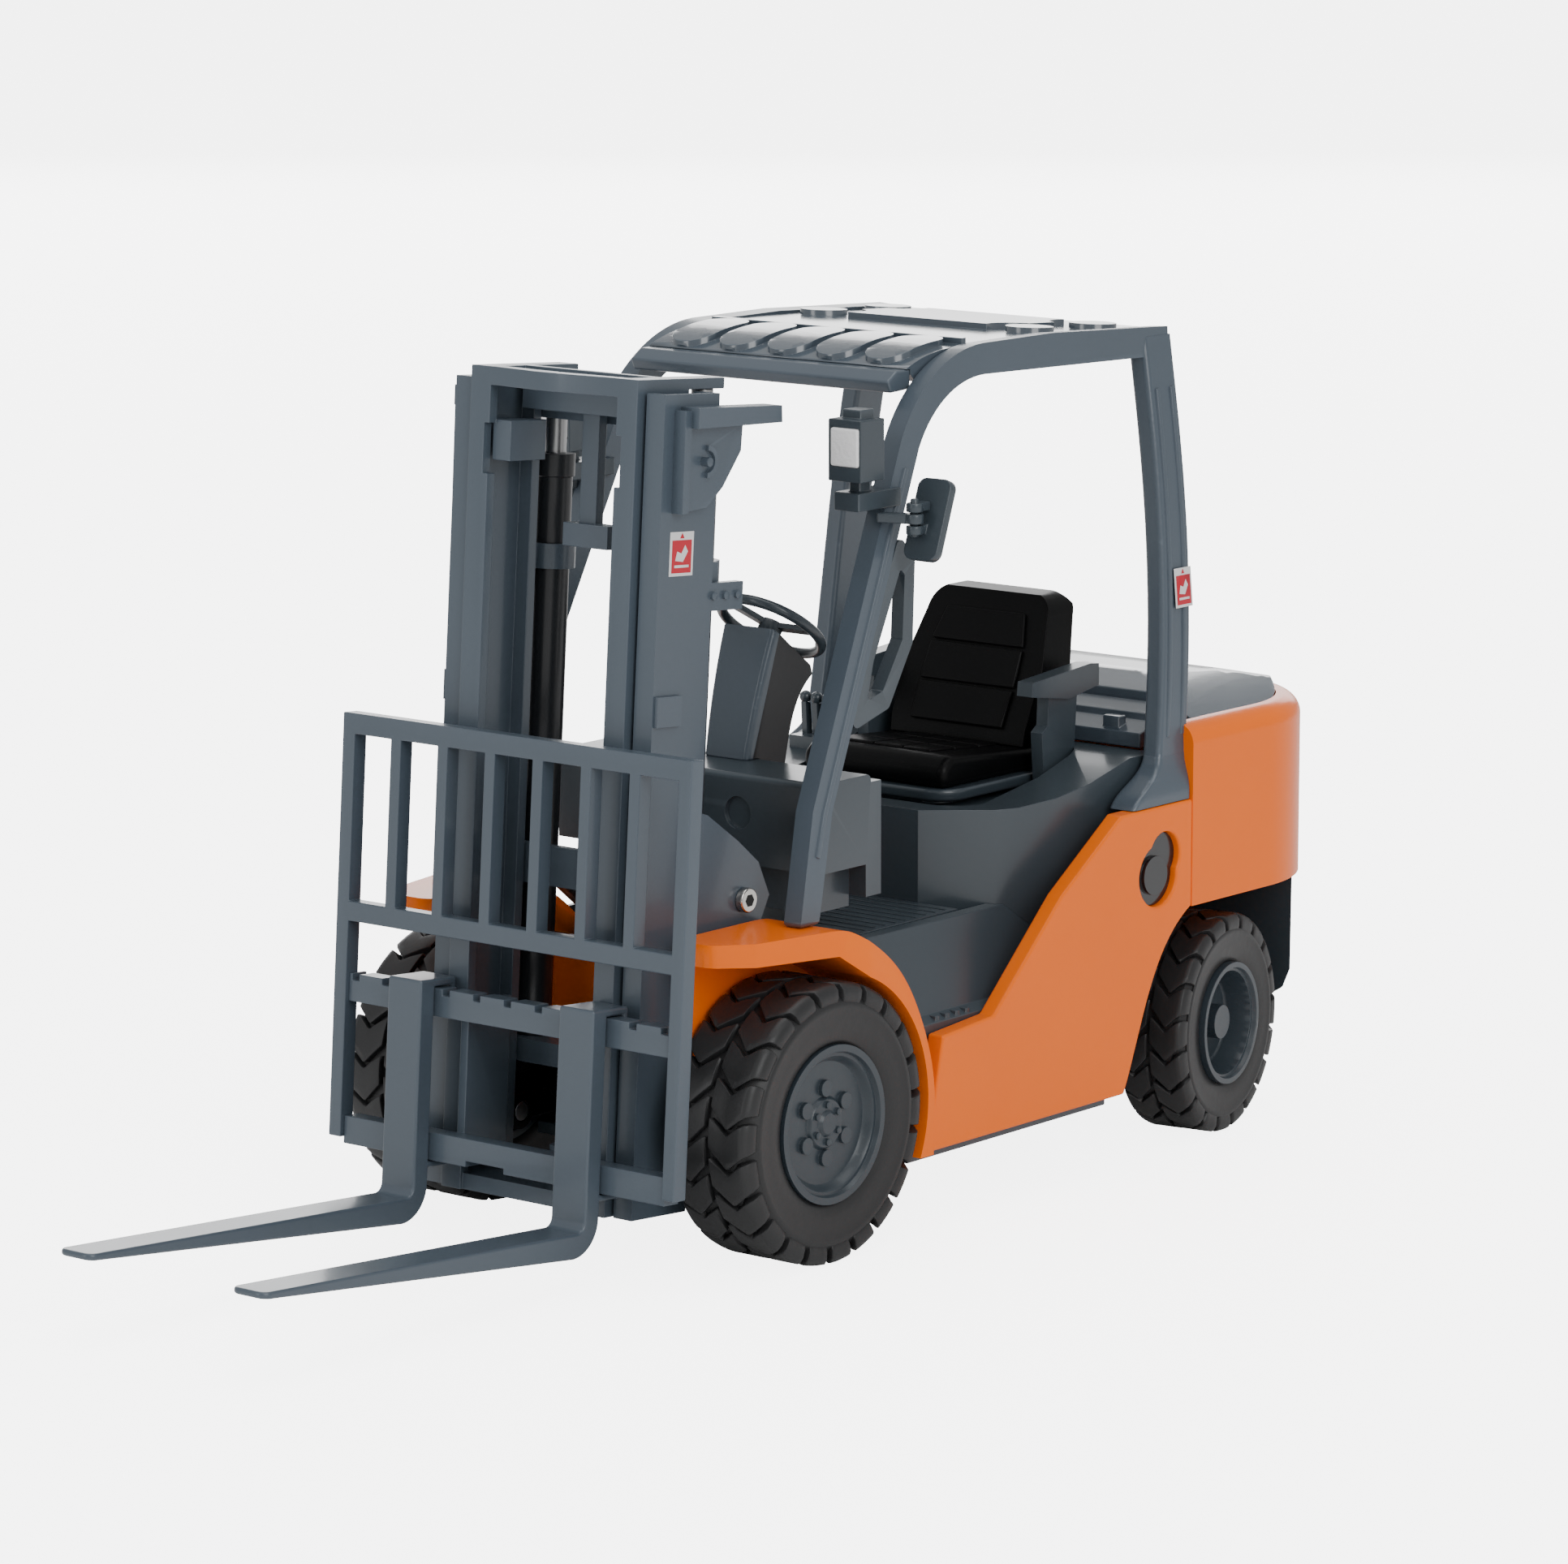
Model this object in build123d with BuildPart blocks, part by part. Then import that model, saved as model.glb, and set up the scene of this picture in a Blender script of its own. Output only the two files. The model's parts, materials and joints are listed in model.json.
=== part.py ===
"""Toy forklift, about 1:20: chassis and cab, tilting two-stage mast, sliding forks, four wheels.

Frame: millimetres, +X forward, +Y to the driver's left, +Z up, ground at z = 0,
origin under the middle of the overall box.
"""

from build123d import *
from math import atan2, cos, degrees, hypot, radians, sin
import os

os.makedirs("parts", exist_ok=True)

# ---------------------------------------------------------------- driving dimensions
FRONT_X = 15.5          # front axle
FRONT_R = 17.0          # front tyre radius
FRONT_OUT = 31.6        # outer sidewall of the front tyres
FRONT_IN = 19.6
REAR_R = 14.2           # rear tyre radius
STEER = 9.0             # rear wheels stand turned by this angle
KINGPIN = (-67.8, 13.8)  # steering axis of a rear wheel
HUB_OUT = 14.5          # kingpin to the outer sidewall of a rear tyre
HUB_IN = 5.0
TRACK_ROD = 6.0         # length of a steering arm

BODY_HALF = 30.0        # half width over the side panels
PANEL_T = 2.4
SEAM_X = -58.7          # side panel meets counterweight
TAIL_X = -96.5
TAIL_R = 20.5
SILL_Z = 9.6
ARCH_Z = 31.5           # underside of the counterweight over the rear wheels
WEIGHT_TOP = 54.8
FLOOR_Z = 35.3

TILT = 4.06             # the mast stands leaning back by this angle
MAST_FOOT = (16.375, 0, -0.678)
PIVOT = (8.0, 14.0)     # tilt axis of the mast, in mast u, w
TILT_PIN = (2.2, 43.0)  # tilt cylinder pin on the mast, in mast u, w
ANCHOR = (-6.0, 25.5)   # tilt cylinder pivot on the chassis, x, z
RAIL_HALF = 16.2        # outer rails, half width
OUTER_U = (9.0, 18.9)
INNER_U = (10.6, 20.0)
MAST_TOP = 103.2
INNER_TOP = 104.7
CYL_UV = (6.2, 11.2)    # lift cylinder axis, in mast u, v
BAR_U = (21.4, 24.0)    # fork bars of the carriage
BACKREST_U = (22.4, 24.6)
BACKREST_HALF = 27.2
FORK_V = (13.05, -13.9)  # left and right fork
FORK_W = 5.33
FORK_TIP = 80.8

ROOF_HALF = 22.9
ROOF_Z = 105.6
WHEEL_HUB = (-11.3, 0, 70.2)  # steering wheel centre
WHEEL_LEAN = 37.0
RUN = 0.05              # radial running clearance of pins and shafts


# ---------------------------------------------------------------- planes
def level(z):
    """Horizontal sketch plane: axes X, Y; extrudes upwards."""
    return Plane.XY.offset(z)


def side(y):
    """Upright sketch plane along the truck: axes X, Z; extrudes towards -Y."""
    return Plane.XZ.offset(-y)


def front(x):
    """Upright sketch plane across the truck: axes Y, Z; extrudes forward."""
    return Plane.YZ.offset(x)


T = radians(TILT)
MAST = Plane(origin=MAST_FOOT, x_dir=(cos(T), 0, sin(T)), z_dir=(-sin(T), 0, cos(T)))


def mast_level(w):
    """Cross-section of the mast: axes u (forward), v (left)."""
    return MAST.offset(w)


def mast_side(v):
    """Side view of the mast: axes u, w; extrudes towards -Y."""
    return Plane(origin=MAST.from_local_coords((0, v, 0)), x_dir=MAST.x_dir, z_dir=(0, -1, 0))


def mast_front(u):
    """Front view of the mast: axes v, w; extrudes forward."""
    return Plane(origin=MAST.from_local_coords((u, 0, 0)), x_dir=(0, 1, 0), z_dir=MAST.x_dir)


def mast_xz(u, w):
    """Truck x, z of a point given in mast u, w."""
    point = MAST.from_local_coords((u, 0, w))
    return point.X, point.Z


PIVOT_XZ = mast_xz(*PIVOT)
PIN_XZ = mast_xz(*TILT_PIN)


def span(low, high):
    """Centre and size of an interval."""
    return (low + high) / 2, high - low


def box_at(x, y, z, mode=Mode.ADD):
    """Box from three intervals, in the axes of the block that it is made in."""
    (cx, lx), (cy, ly), (cz, lz) = span(*x), span(*y), span(*z)
    with Locations((cx, cy, cz)):
        return Box(lx, ly, lz, mode=mode)


def both_sides(x, y, z, mode=Mode.ADD):
    """The same box on the left and on the right."""
    box_at(x, y, z, mode)
    box_at(x, (-y[1], -y[0]), z, mode)


def mirrored(part):
    """The right-hand twin of a left-hand piece."""
    with BuildPart() as twin:
        mirror(part, about=Plane.XZ)
    return twin


def write(piece, name):
    """Label one finished piece and write its file."""
    piece.part.label = name
    export_step(piece.part, f"parts/{name}.step")


# ---------------------------------------------------------------- wheels
def wheel_frame(centre, normal):
    """Sketch plane through a wheel's axis: x runs outward along the axis, y is the radius."""
    out = Vector(*normal)
    return Plane(origin=centre, x_dir=out, z_dir=out.cross(Vector(0, 0, 1)))


def make_tyre(centre, normal, radius, bead, inner, outer):
    """Tyre with rounded shoulders and three grooves round the tread."""
    plane = wheel_frame(centre, normal)
    shoulder = 0.16 * radius
    with BuildPart() as tyre:
        with BuildSketch(plane) as section:
            with Locations(((inner + outer) / 2, (bead + radius) / 2)):
                Rectangle(outer - inner, radius - bead)
            fillet(section.vertices().filter_by(lambda corner: corner.Y > bead + 0.5), shoulder)
        revolve(axis=Axis(centre, normal))
        with BuildSketch(plane):
            for share in (0.3, 0.5, 0.7):
                with Locations((inner + share * (outer - inner), radius)):
                    Rectangle(0.5, 1.0)
        revolve(axis=Axis(centre, normal), mode=Mode.SUBTRACT)
    return tyre


def make_rim(centre, normal, radius, inner, outer, bore, dish, disc, nuts):
    """Dished wheel disc with flange, blind axle bore and either wheel nuts or a plain hub cap."""
    plane = wheel_frame(centre, normal)
    face = outer - dish
    back = face - 1.6
    with BuildPart() as rim:
        with BuildSketch(plane):
            Polygon(
                (back, 0), (face + 0.9, 0), (face + 0.9, 0.13 * radius), (face + 0.5, 0.17 * radius),
                (face + 0.5, 0.3 * radius), (face, 0.34 * radius), (face, disc * radius),
                (face + 0.4, (disc + 0.03) * radius), (outer - 0.6, 0.85 * radius), (outer - 0.6, 0.89 * radius),
                (outer, 0.91 * radius), (outer, radius), (inner, radius), (inner, 0.9 * radius),
                (back, 0.8 * radius), (back, 0.34 * radius), (inner + 0.4, 0.34 * radius),
                (inner + 0.4, bore), (back, bore),
                align=None,
            )
        revolve(axis=Axis(centre, normal))
        seat = Plane(origin=plane.from_local_coords((face - 0.2, 0, 0)), z_dir=normal)
        if nuts:
            with BuildSketch(seat):
                with PolarLocations(0.44 * radius, nuts):
                    Circle(0.105 * radius)
            extrude(amount=0.75)
            with BuildSketch(seat):
                with PolarLocations(0.235 * radius, nuts):
                    Circle(0.045 * radius)
            extrude(amount=1.05)
        else:
            with BuildSketch(seat):
                Circle(0.28 * radius)
            extrude(amount=2.8)
    return rim


AXLE_R = 1.5
STUB_R = 1.3
front_centre = (FRONT_X, 0, FRONT_R)
FRONT_RIM_R = 9.6
REAR_RIM_R = 7.9


def rear_frame(hand):
    """Centre and outward normal of a rear wheel, hand +1 left and -1 right."""
    turn = radians(STEER)
    return (KINGPIN[0], hand * KINGPIN[1], REAR_R), (-hand * sin(turn), hand * cos(turn), 0)


for hand, name in ((1, "left"), (-1, "right")):
    out = (0, hand, 0)
    write(make_tyre(front_centre, out, FRONT_R, FRONT_RIM_R, FRONT_IN, FRONT_OUT), f"front_tyre_{name}")
    write(
        make_rim(front_centre, out, FRONT_RIM_R, FRONT_IN + 0.4, FRONT_OUT - 0.2, AXLE_R + RUN, 1.7, 0.77, 6),
        f"front_rim_{name}",
    )
    centre, out = rear_frame(hand)
    write(make_tyre(centre, out, REAR_R, REAR_RIM_R, HUB_IN, HUB_OUT), f"rear_tyre_{name}")
    write(
        make_rim(centre, out, REAR_RIM_R, HUB_IN + 0.4, HUB_OUT + 0.3, STUB_R + RUN, 4.0, 0.73, 0),
        f"rear_rim_{name}",
    )

    # steering knuckle: kingpin barrel, stub axle and steering arm
    turn = radians(STEER)
    kx, ky = KINGPIN[0], hand * KINGPIN[1]
    arm_end = (kx + TRACK_ROD * cos(turn), ky + TRACK_ROD * sin(turn))
    stub = Plane(origin=(kx, ky, REAR_R), z_dir=out)
    with BuildPart() as knuckle:
        with BuildSketch(level(10.2)):
            with Locations((kx, ky)):
                Circle(2.1)
        extrude(amount=8.2)
        with BuildSketch(stub):
            Circle(STUB_R)
        extrude(amount=HUB_OUT - 5.6)
        with BuildSketch(stub):
            Circle(2.4)
        extrude(amount=3.4)
        with BuildSketch(level(10.2)):
            with BuildLine():
                Line((kx, ky), arm_end)
            trace(line_width=2.0)
            with Locations(arm_end):
                Circle(2.0)
        extrude(amount=1.5)
        with BuildSketch(level(10.0)):
            with Locations((kx, ky)):
                Circle(1.0 + RUN)
            with Locations(arm_end):
                Circle(1.15)
        extrude(amount=9.0, mode=Mode.SUBTRACT)
    write(knuckle, f"steering_knuckle_{name}")

# bar that joins the two steering arms, with an upright peg at each end
peg_x = KINGPIN[0] + TRACK_ROD * cos(radians(STEER))
peg_shift = TRACK_ROD * sin(radians(STEER))
with BuildPart() as tie_rod:
    with BuildSketch(level(8.2)):
        with Locations((peg_x, peg_shift)):
            SlotCenterToCenter(2 * KINGPIN[1], 2.6, rotation=90)
    extrude(amount=1.6)
    with BuildSketch(level(9.8)):
        with Locations((peg_x, peg_shift + KINGPIN[1]), (peg_x, peg_shift - KINGPIN[1])):
            Circle(0.8)
    extrude(amount=2.4)
write(tie_rod, "tie_rod")

# beam of the steered axle, with a yoke above and below each knuckle
with BuildPart() as rear_axle_beam:
    box_at((-70.3, -65.3), (-10.9, 10.9), (7.7, 21.0))
    for low in (7.7, 18.7):
        with BuildSketch(level(low)):
            with Locations((KINGPIN[0], 0)):
                SlotCenterToCenter(2 * KINGPIN[1], 5.0, rotation=90)
        extrude(amount=2.3)
    with BuildSketch(level(7.0)):
        with Locations(KINGPIN, (KINGPIN[0], -KINGPIN[1])):
            Circle(1.02)
    extrude(amount=15.0, mode=Mode.SUBTRACT)
write(rear_axle_beam, "rear_axle_beam")

AXLE_HALF = FRONT_OUT - 3.8
with BuildPart() as front_axle:
    with BuildSketch(side(AXLE_HALF)):
        with Locations((FRONT_X, FRONT_R)):
            Circle(AXLE_R)
    extrude(amount=2 * AXLE_HALF)
write(front_axle, "front_axle")

# ---------------------------------------------------------------- chassis
SPINE = 10.5
APRON_X = 11.2          # steel front plate ends here, painted apron in front of it
APRON_TOP = 33.0
with BuildPart() as chassis_frame:
    box_at((-50.0, -10.0), (-15.5, 15.5), (9.6, 31.0))
    box_at((-86.0, -50.0), (-9.4, 9.4), (9.6, 31.2))
    box_at((-10.0, 10.0), (-SPINE, SPINE), (9.6, 31.0))
    box_at((9.0, APRON_X), (-18.4, 18.4), (9.6, APRON_TOP))
    box_at((10.0, FRONT_X), (-18.4, 18.4), (14.0, 20.0))
    with BuildSketch(side(18.4)):
        with Locations((FRONT_X, FRONT_R)):
            Circle(3.0)
    extrude(amount=36.8)
    box_at((-70.6, -65.0), (-20.0, 20.0), (7.0, 21.3), Mode.SUBTRACT)
    box_at((-65.0, -59.0), (-20.0, 20.0), (7.0, 12.8), Mode.SUBTRACT)
    for outer in (12.8, -10.8):
        with BuildSketch(side(outer)):
            with Locations(PIVOT_XZ):
                Circle(2.2)
            with Locations((PIVOT_XZ[0] - 6.0, PIVOT_XZ[1] + 0.6)):
                Rectangle(12.0, 3.2)
        extrude(amount=2.0)
    with BuildSketch(side(30)):
        with Locations((FRONT_X, FRONT_R)):
            Circle(AXLE_R + 0.02)
        with Locations(PIVOT_XZ):
            Circle(1.22)
        with Locations(ANCHOR):
            Circle(1.02)
    extrude(amount=60, mode=Mode.SUBTRACT)
write(chassis_frame, "chassis_frame")

# pins: two mast pivots, two tilt cylinder pivots, two kingpins
with BuildPart() as pivot_pins:
    for hand in (1, -1):
        with BuildSketch(side(16.9 if hand > 0 else -10.8)):
            with Locations(PIVOT_XZ):
                Circle(1.2)
        extrude(amount=6.1)
        with BuildSketch(side(15.8 if hand > 0 else -8.5)):
            with Locations(ANCHOR):
                Circle(1.0)
        extrude(amount=7.3)
        with BuildSketch(level(7.7)):
            with Locations((KINGPIN[0], hand * KINGPIN[1])):
                Circle(1.0)
        extrude(amount=13.3)
write(pivot_pins, "pivot_pins")

with BuildPart() as base_plate:
    with BuildSketch(level(8.0)):
        Polygon(
            (12.0, 18.4), (12.0, -18.4), (-3.6, -18.4), (-3.6, -27.4), (-44.0, -27.4), (-46.5, -9.4),
            (-57.4, -9.4), (-57.4, 9.4), (-46.5, 9.4), (-44.0, 27.4), (-3.6, 27.4), (-3.6, 18.4),
            align=None,
        )
    extrude(amount=1.6)
write(base_plate, "base_plate")

with BuildPart() as base_screws:
    with BuildSketch(level(7.6)):
        with Locations((6.0, 12.0), (6.0, -12.0), (-40.0, 14.0), (-40.0, -14.0), (-53.4, 6.0), (-53.4, -6.0)):
            Circle(1.6)
            RegularPolygon(0.7, 6, mode=Mode.SUBTRACT)
    extrude(amount=0.4)
write(base_screws, "base_screws")

# front fender: flat shelf with a rounded tip, sweeping down behind the wheel
GUARD_R = 18.0
SHELF_Z = 40.0


def arch_point(angle):
    """Point of the front wheel arch, by its angle at the axle."""
    return FRONT_X + GUARD_R * cos(radians(angle)), FRONT_R + GUARD_R * sin(radians(angle))


with BuildPart() as fender_left:
    with BuildSketch(side(31.4)):
        with BuildLine():
            crest = Spline(
                (-3.6, 9.8), (-3.6, 19.0), (-0.8, 27.6), (4.6, 35.0), (11.0, 39.2), (18.0, SHELF_Z),
                tangents=((0, 1), (1, 0)),
            )
            Polyline(crest @ 1, (30.2, SHELF_Z), (30.2, 37.3), (13.5, 36.8), arch_point(112))
            ThreePointArc(arch_point(112), arch_point(158), arch_point(203.6))
            Line(arch_point(203.6), crest @ 0)
        make_face()
    extrude(amount=12.4)
    with BuildSketch(level(0)):
        Polygon((-8, 18), (30.2, 18), (30.2, 24.4), (26.0, 28.0), (9, 31.4), (-8, 31.4), align=None)
    extrude(amount=60, mode=Mode.INTERSECT)
    fillet(fender_left.edges().filter_by(Axis.Z).group_by(Axis.X)[-1], 2.4)
    # inner wall between the wheel and the mast, its top just under the crest
    with BuildSketch(side(19.4)):
        Polygon((-3.6, 9.8), (-3.6, 19.0), (-0.8, 26.6), (4.6, 34.0), (11.0, 38.2), (16.0, 39.2), (27.5, 39.2),
                (27.5, 28.0), (20.0, 25.0), (10.0, 18.0), (6.0, 9.8), align=None)
    extrude(amount=0.95)
    # half of the painted apron that closes the body behind the mast
    box_at((APRON_X, APRON_X + 0.8), (0.03, 19.0), (20.2, APRON_TOP))
write(fender_left, "fender_left")
write(mirrored(fender_left.part), "fender_right")

# side panel with its rising edge, wheel arch and fuel recess
FUEL_LOW = (-51.4, 36.5)
FUEL_HIGH = (-52.9, 38.8)
with BuildPart() as side_panel_left:
    with BuildSketch(side(BODY_HALF)):
        with BuildLine():
            Polyline((-44.5, SILL_Z), (-4.2, SILL_Z), (-7.2, 23.6), (-17.4, 24.4), (-31.0, 37.0), (-43.5, 45.3),
                     (SEAM_X, 45.3), (SEAM_X, 31.6))
            Spline((SEAM_X, 31.6), (-52.6, 26.4), (-48.4, 18.6), (-44.5, SILL_Z))
        make_face()
        with Locations(FUEL_LOW):
            Circle(3.9, mode=Mode.SUBTRACT)
        with Locations(FUEL_HIGH):
            Circle(3.1, mode=Mode.SUBTRACT)
    extrude(amount=PANEL_T)
write(side_panel_left, "side_panel_left")
write(mirrored(side_panel_left.part), "side_panel_right")

# dark liner that fills each fuel recess to just below the panel, with a low cap
with BuildPart() as fuel_filler:
    back = BODY_HALF - PANEL_T
    for hand in (1, -1):
        with BuildSketch(side(back if hand > 0 else 1.6 - back)):
            with Locations((-52.2, 37.6)):
                Circle(5.0)
        extrude(amount=1.6)
        with BuildSketch(side(back + 1.5 if hand > 0 else -back)):
            with Locations(FUEL_LOW):
                Circle(3.8)
            with Locations(FUEL_HIGH):
                Circle(3.0)
        extrude(amount=1.5)
        with BuildSketch(side(back + 2.0 if hand > 0 else -back - 1.5)):
            with Locations(FUEL_LOW):
                Circle(2.5)
        extrude(amount=0.5)
write(fuel_filler, "fuel_filler")


def tail_plan(inset, nose):
    """Plan of the rounded tail, inset from the body sides; nose is its front line."""
    middle, length = span(TAIL_X + inset, 0)
    with BuildSketch() as plan:
        with Locations((middle, 0)):
            Rectangle(length, 2 * (BODY_HALF - inset))
        fillet(plan.vertices().group_by(Axis.X)[0], TAIL_R - inset)
        with Locations((nose / 2, 0)):
            Rectangle(-nose, 3 * BODY_HALF, mode=Mode.SUBTRACT)
    return plan.sketch


POCKET = 3.2  # rim of the counterweight round the hood
with BuildPart() as counterweight:
    with BuildSketch(level(ARCH_Z)):
        add(tail_plan(0, SEAM_X))
    extrude(amount=WEIGHT_TOP - ARCH_Z)
    fillet(counterweight.faces().sort_by(Axis.Z)[-1].edges().filter_by(lambda e: e.center().X < SEAM_X - 1), 2.6)
    with BuildSketch(level(51.0)):
        add(tail_plan(POCKET, SEAM_X + 1))
    extrude(amount=10, mode=Mode.SUBTRACT)
    box_at((-64.4, SEAM_X + 1), (-26.9, 26.9), (30.0, 60.0), Mode.SUBTRACT)
write(counterweight, "counterweight")

with BuildPart() as counterweight_skirt:
    for height, inset in ((14.0, 3.6), (15.4, 1.8), (18.0, 0.9), (ARCH_Z, 0.8)):
        with BuildSketch(level(height)):
            add(tail_plan(inset, -87.6))
    loft(ruled=True)
write(counterweight_skirt, "counterweight_skirt")

# rear hood: stepped down towards the seat, crowned across
with BuildPart() as rear_hood:
    with BuildSketch(side(28)):
        Polygon(
            (-57.4, 51.1), (-57.4, 53.0), (-61.0, 54.0), (-61.6, 54.8), (-65.2, 55.8), (-65.8, 56.8), (-72.0, 58.2),
            (-84.0, 57.4), (-92.6, 55.4), (-92.6, 51.1), align=None,
        )
    extrude(amount=56)
    with BuildSketch(level(50)):
        add(tail_plan(POCKET + 0.15, -57.4))
    extrude(amount=12, mode=Mode.INTERSECT)
    with BuildSketch(front(-100)):
        with BuildLine():
            Spline((-27.0, 53.6), (-18, 57.0), (0, 58.6), (18, 57.0), (27.0, 53.6))
            Polyline((27.0, 53.6), (27, 50), (-27, 50), (-27.0, 53.6))
        make_face()
    extrude(amount=60, mode=Mode.INTERSECT)
    both_sides((-64.6, -57.0), (22.6, 30.0), (50.0, 60.0), Mode.SUBTRACT)
    with Locations((-58.9, 17.5, 53.9)):
        Box(1.6, 2.6, 1.6)
    with Locations((-58.9, -17.5, 53.9)):
        Box(1.6, 2.6, 1.6)
write(rear_hood, "rear_hood")

# engine cover under the seat, with a raised shoulder round the seat well
with BuildPart() as engine_cover:
    with BuildSketch(level(31.1)):
        Polygon(
            (-24.0, 13.0), (-30.0, 20.4), (-38.0, 24.0), (-57.3, 25.4), (-57.3, -25.4), (-38.0, -24.0),
            (-30.0, -20.4), (-24.0, -13.0), align=None,
        )
    extrude(amount=22)
    with BuildSketch(side(30)):
        Polygon((-20, 46.9), (-33, 46.9), (-44, 48.6), (-52, 50.9), (-60, 51.0), (-60, 30), (-20, 30), align=None)
    extrude(amount=60, mode=Mode.INTERSECT)
    with BuildSketch(level(45.8)):
        with Locations((-41.5, 0)):
            RectangleRounded(27.0, 33.0, 5.0)
    extrude(amount=10, mode=Mode.SUBTRACT)
    add(chassis_frame.part, mode=Mode.SUBTRACT)
write(engine_cover, "engine_cover")

with BuildPart() as floor_mat:
    box_at((-23.9, -0.5), (-19.4, 19.4), (33.2, FLOOR_Z))
    for row in range(11):
        box_at((-22.6 + 2.0 * row, -22.1 + 2.0 * row), (-18.6, 18.6), (FLOOR_Z - 0.5, FLOOR_Z + 1), Mode.SUBTRACT)
    add(fender_left.part, mode=Mode.SUBTRACT)
    add(mirrored(fender_left.part), mode=Mode.SUBTRACT)
write(floor_mat, "floor_mat")

# closed side wall below the floor on each side, with a ribbed tread at its foot
with BuildPart() as step_left:
    with BuildSketch(front(-44.0)):
        Polygon((16.0, 33.0), (19.6, 33.0), (19.6, 35.2), (21.0, 35.0), (26.0, 25.4), (27.5, 24.6), (27.5, 20.0), (16.0, 20.0), align=None)
    extrude(amount=50.0)
    with BuildSketch(side(40)):
        with BuildLine():
            clear = Spline((-3.9, 9.8), (-3.9, 19.0), (-1.1, 27.6), (4.3, 35.2), tangents=((0, 1), (0.7, 0.7)))
            Polyline(clear @ 1, (4.3, 40), (12, 40), (12, 9.8), clear @ 0)
        make_face()
    extrude(amount=60, mode=Mode.SUBTRACT)
    with BuildSketch(level(30.9)):
        Polygon((-23.9, 13.0), (-29.9, 20.5), (-37.9, 24.1), (-46, 25.4), (-46, 10), (-23.9, 10), align=None)
    extrude(amount=10, mode=Mode.SUBTRACT)
    for rib in range(4):
        box_at((-16.0 + 2.0 * rib, -15.2 + 2.0 * rib), (25.0, 27.3), (24.2, 25.3))
    add(fender_left.part, mode=Mode.SUBTRACT)
write(step_left, "step_left")
write(mirrored(step_left.part), "step_right")

# ---------------------------------------------------------------- driver's place
with BuildPart() as cowl:
    box_at((-5.0, 5.0), (-20.6, 20.6), (44.0, 55.0))
    box_at((-4.0, 3.0), (-18.0, 18.0), (38.6, 44.0))
    box_at((-4.0, 3.0), (-9.8, 9.8), (FLOOR_Z, 38.6))
    fillet(cowl.edges().filter_by(Axis.Y).group_by(Axis.Z)[-1], 0.8)
    with BuildSketch(front(5.0)):
        with Locations((8.0, 50.2), (-8.0, 50.2)):
            Circle(2.0)
    extrude(amount=-0.6, mode=Mode.SUBTRACT)
    both_sides((-7.0, -4.0), (17.0, 20.6), (40.0, 54.0))
write(cowl, "cowl")

# steering column: cover that leans back towards the driver and widens upwards
lean = radians(WHEEL_LEAN)
SHAFT_DIR = (-sin(lean), 0, cos(lean))
with BuildPart() as steering_column:
    with BuildSketch(side(4.3)):
        with BuildLine():
            nose = Spline((-2.2, 54.6), (-4.1, 62.6), (-6.9, 70.8))
            Polyline(nose @ 1, (-14.2, 65.4), (-14.6, 64.2))
            Spline((-14.6, 64.2), (-11.7, 61.0), (-10.3, 56.6), (-9.8, 53.6))
            Polyline((-9.8, 53.6), (-2.2, 53.6), nose @ 0)
        make_face()
    extrude(amount=8.6)
    with BuildSketch(front(0)):
        Polygon((-3.4, 53.0), (3.4, 53.0), (4.2, 71.4), (-4.2, 71.4), align=None)
    extrude(amount=-20, mode=Mode.INTERSECT)
    fillet(steering_column.edges().filter_by(lambda e: e.length > 12 and e.center().X > -6.5), 0.8)
    with BuildSketch(Plane(origin=WHEEL_HUB, z_dir=SHAFT_DIR)):
        Circle(0.7 + RUN)
    extrude(amount=-9.0, mode=Mode.SUBTRACT)
    add(cowl.part, mode=Mode.SUBTRACT)
write(steering_column, "steering_column")

RIM_RING = 6.6
with BuildPart(Plane(origin=WHEEL_HUB, x_dir=(cos(lean), 0, sin(lean)), z_dir=SHAFT_DIR)) as steering_wheel:
    Torus(RIM_RING, 0.65)
    with Locations((0, 0, -0.4)):
        Cylinder(1.5, 1.6)
    with Locations((0, 0, -4.0)):
        Cylinder(0.7, 6.4)
    with PolarLocations(RIM_RING / 2 + 0.5, 3, start_angle=90):
        Box(RIM_RING - 0.9, 1.1, 0.7)
write(steering_wheel, "steering_wheel")

with BuildPart() as pedals:
    for across in (6.4, 9.6):
        with BuildSketch(side(across)):
            Polygon((-3.9, 37.4), (-7.4, 36.6), (-8.6, 39.4), (-7.9, 39.7), (-6.9, 37.8), (-3.9, 38.4), align=None)
        extrude(amount=2.0)
    add(cowl.part, mode=Mode.SUBTRACT)
write(pedals, "pedals")

with BuildPart() as seat_pan:
    with BuildSketch(level(45.8)):
        with Locations((-42.4, 0)):
            RectangleRounded(20.0, 20.0, 3.0)
    extrude(amount=0.8)
    with BuildSketch(level(46.6)):
        with Locations((-42.6, 0)):
            RectangleRounded(23.4, 24.6, 4.0)
    extrude(amount=1.5)
    fillet(seat_pan.faces().sort_by(Axis.Z)[-1].edges(), 0.5)
write(seat_pan, "seat_pan")

with BuildPart() as seat_cushion:
    with BuildSketch(side(11.3)):
        Polygon((-31.6, 48.1), (-31.2, 50.6), (-33.0, 52.2), (-49.4, 51.0), (-53.0, 51.0), (-53.0, 48.1), align=None)
    extrude(amount=22.6)
    fillet(seat_cushion.edges().filter_by(Axis.Z), 1.5)
write(seat_cushion, "seat_cushion")

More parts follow.
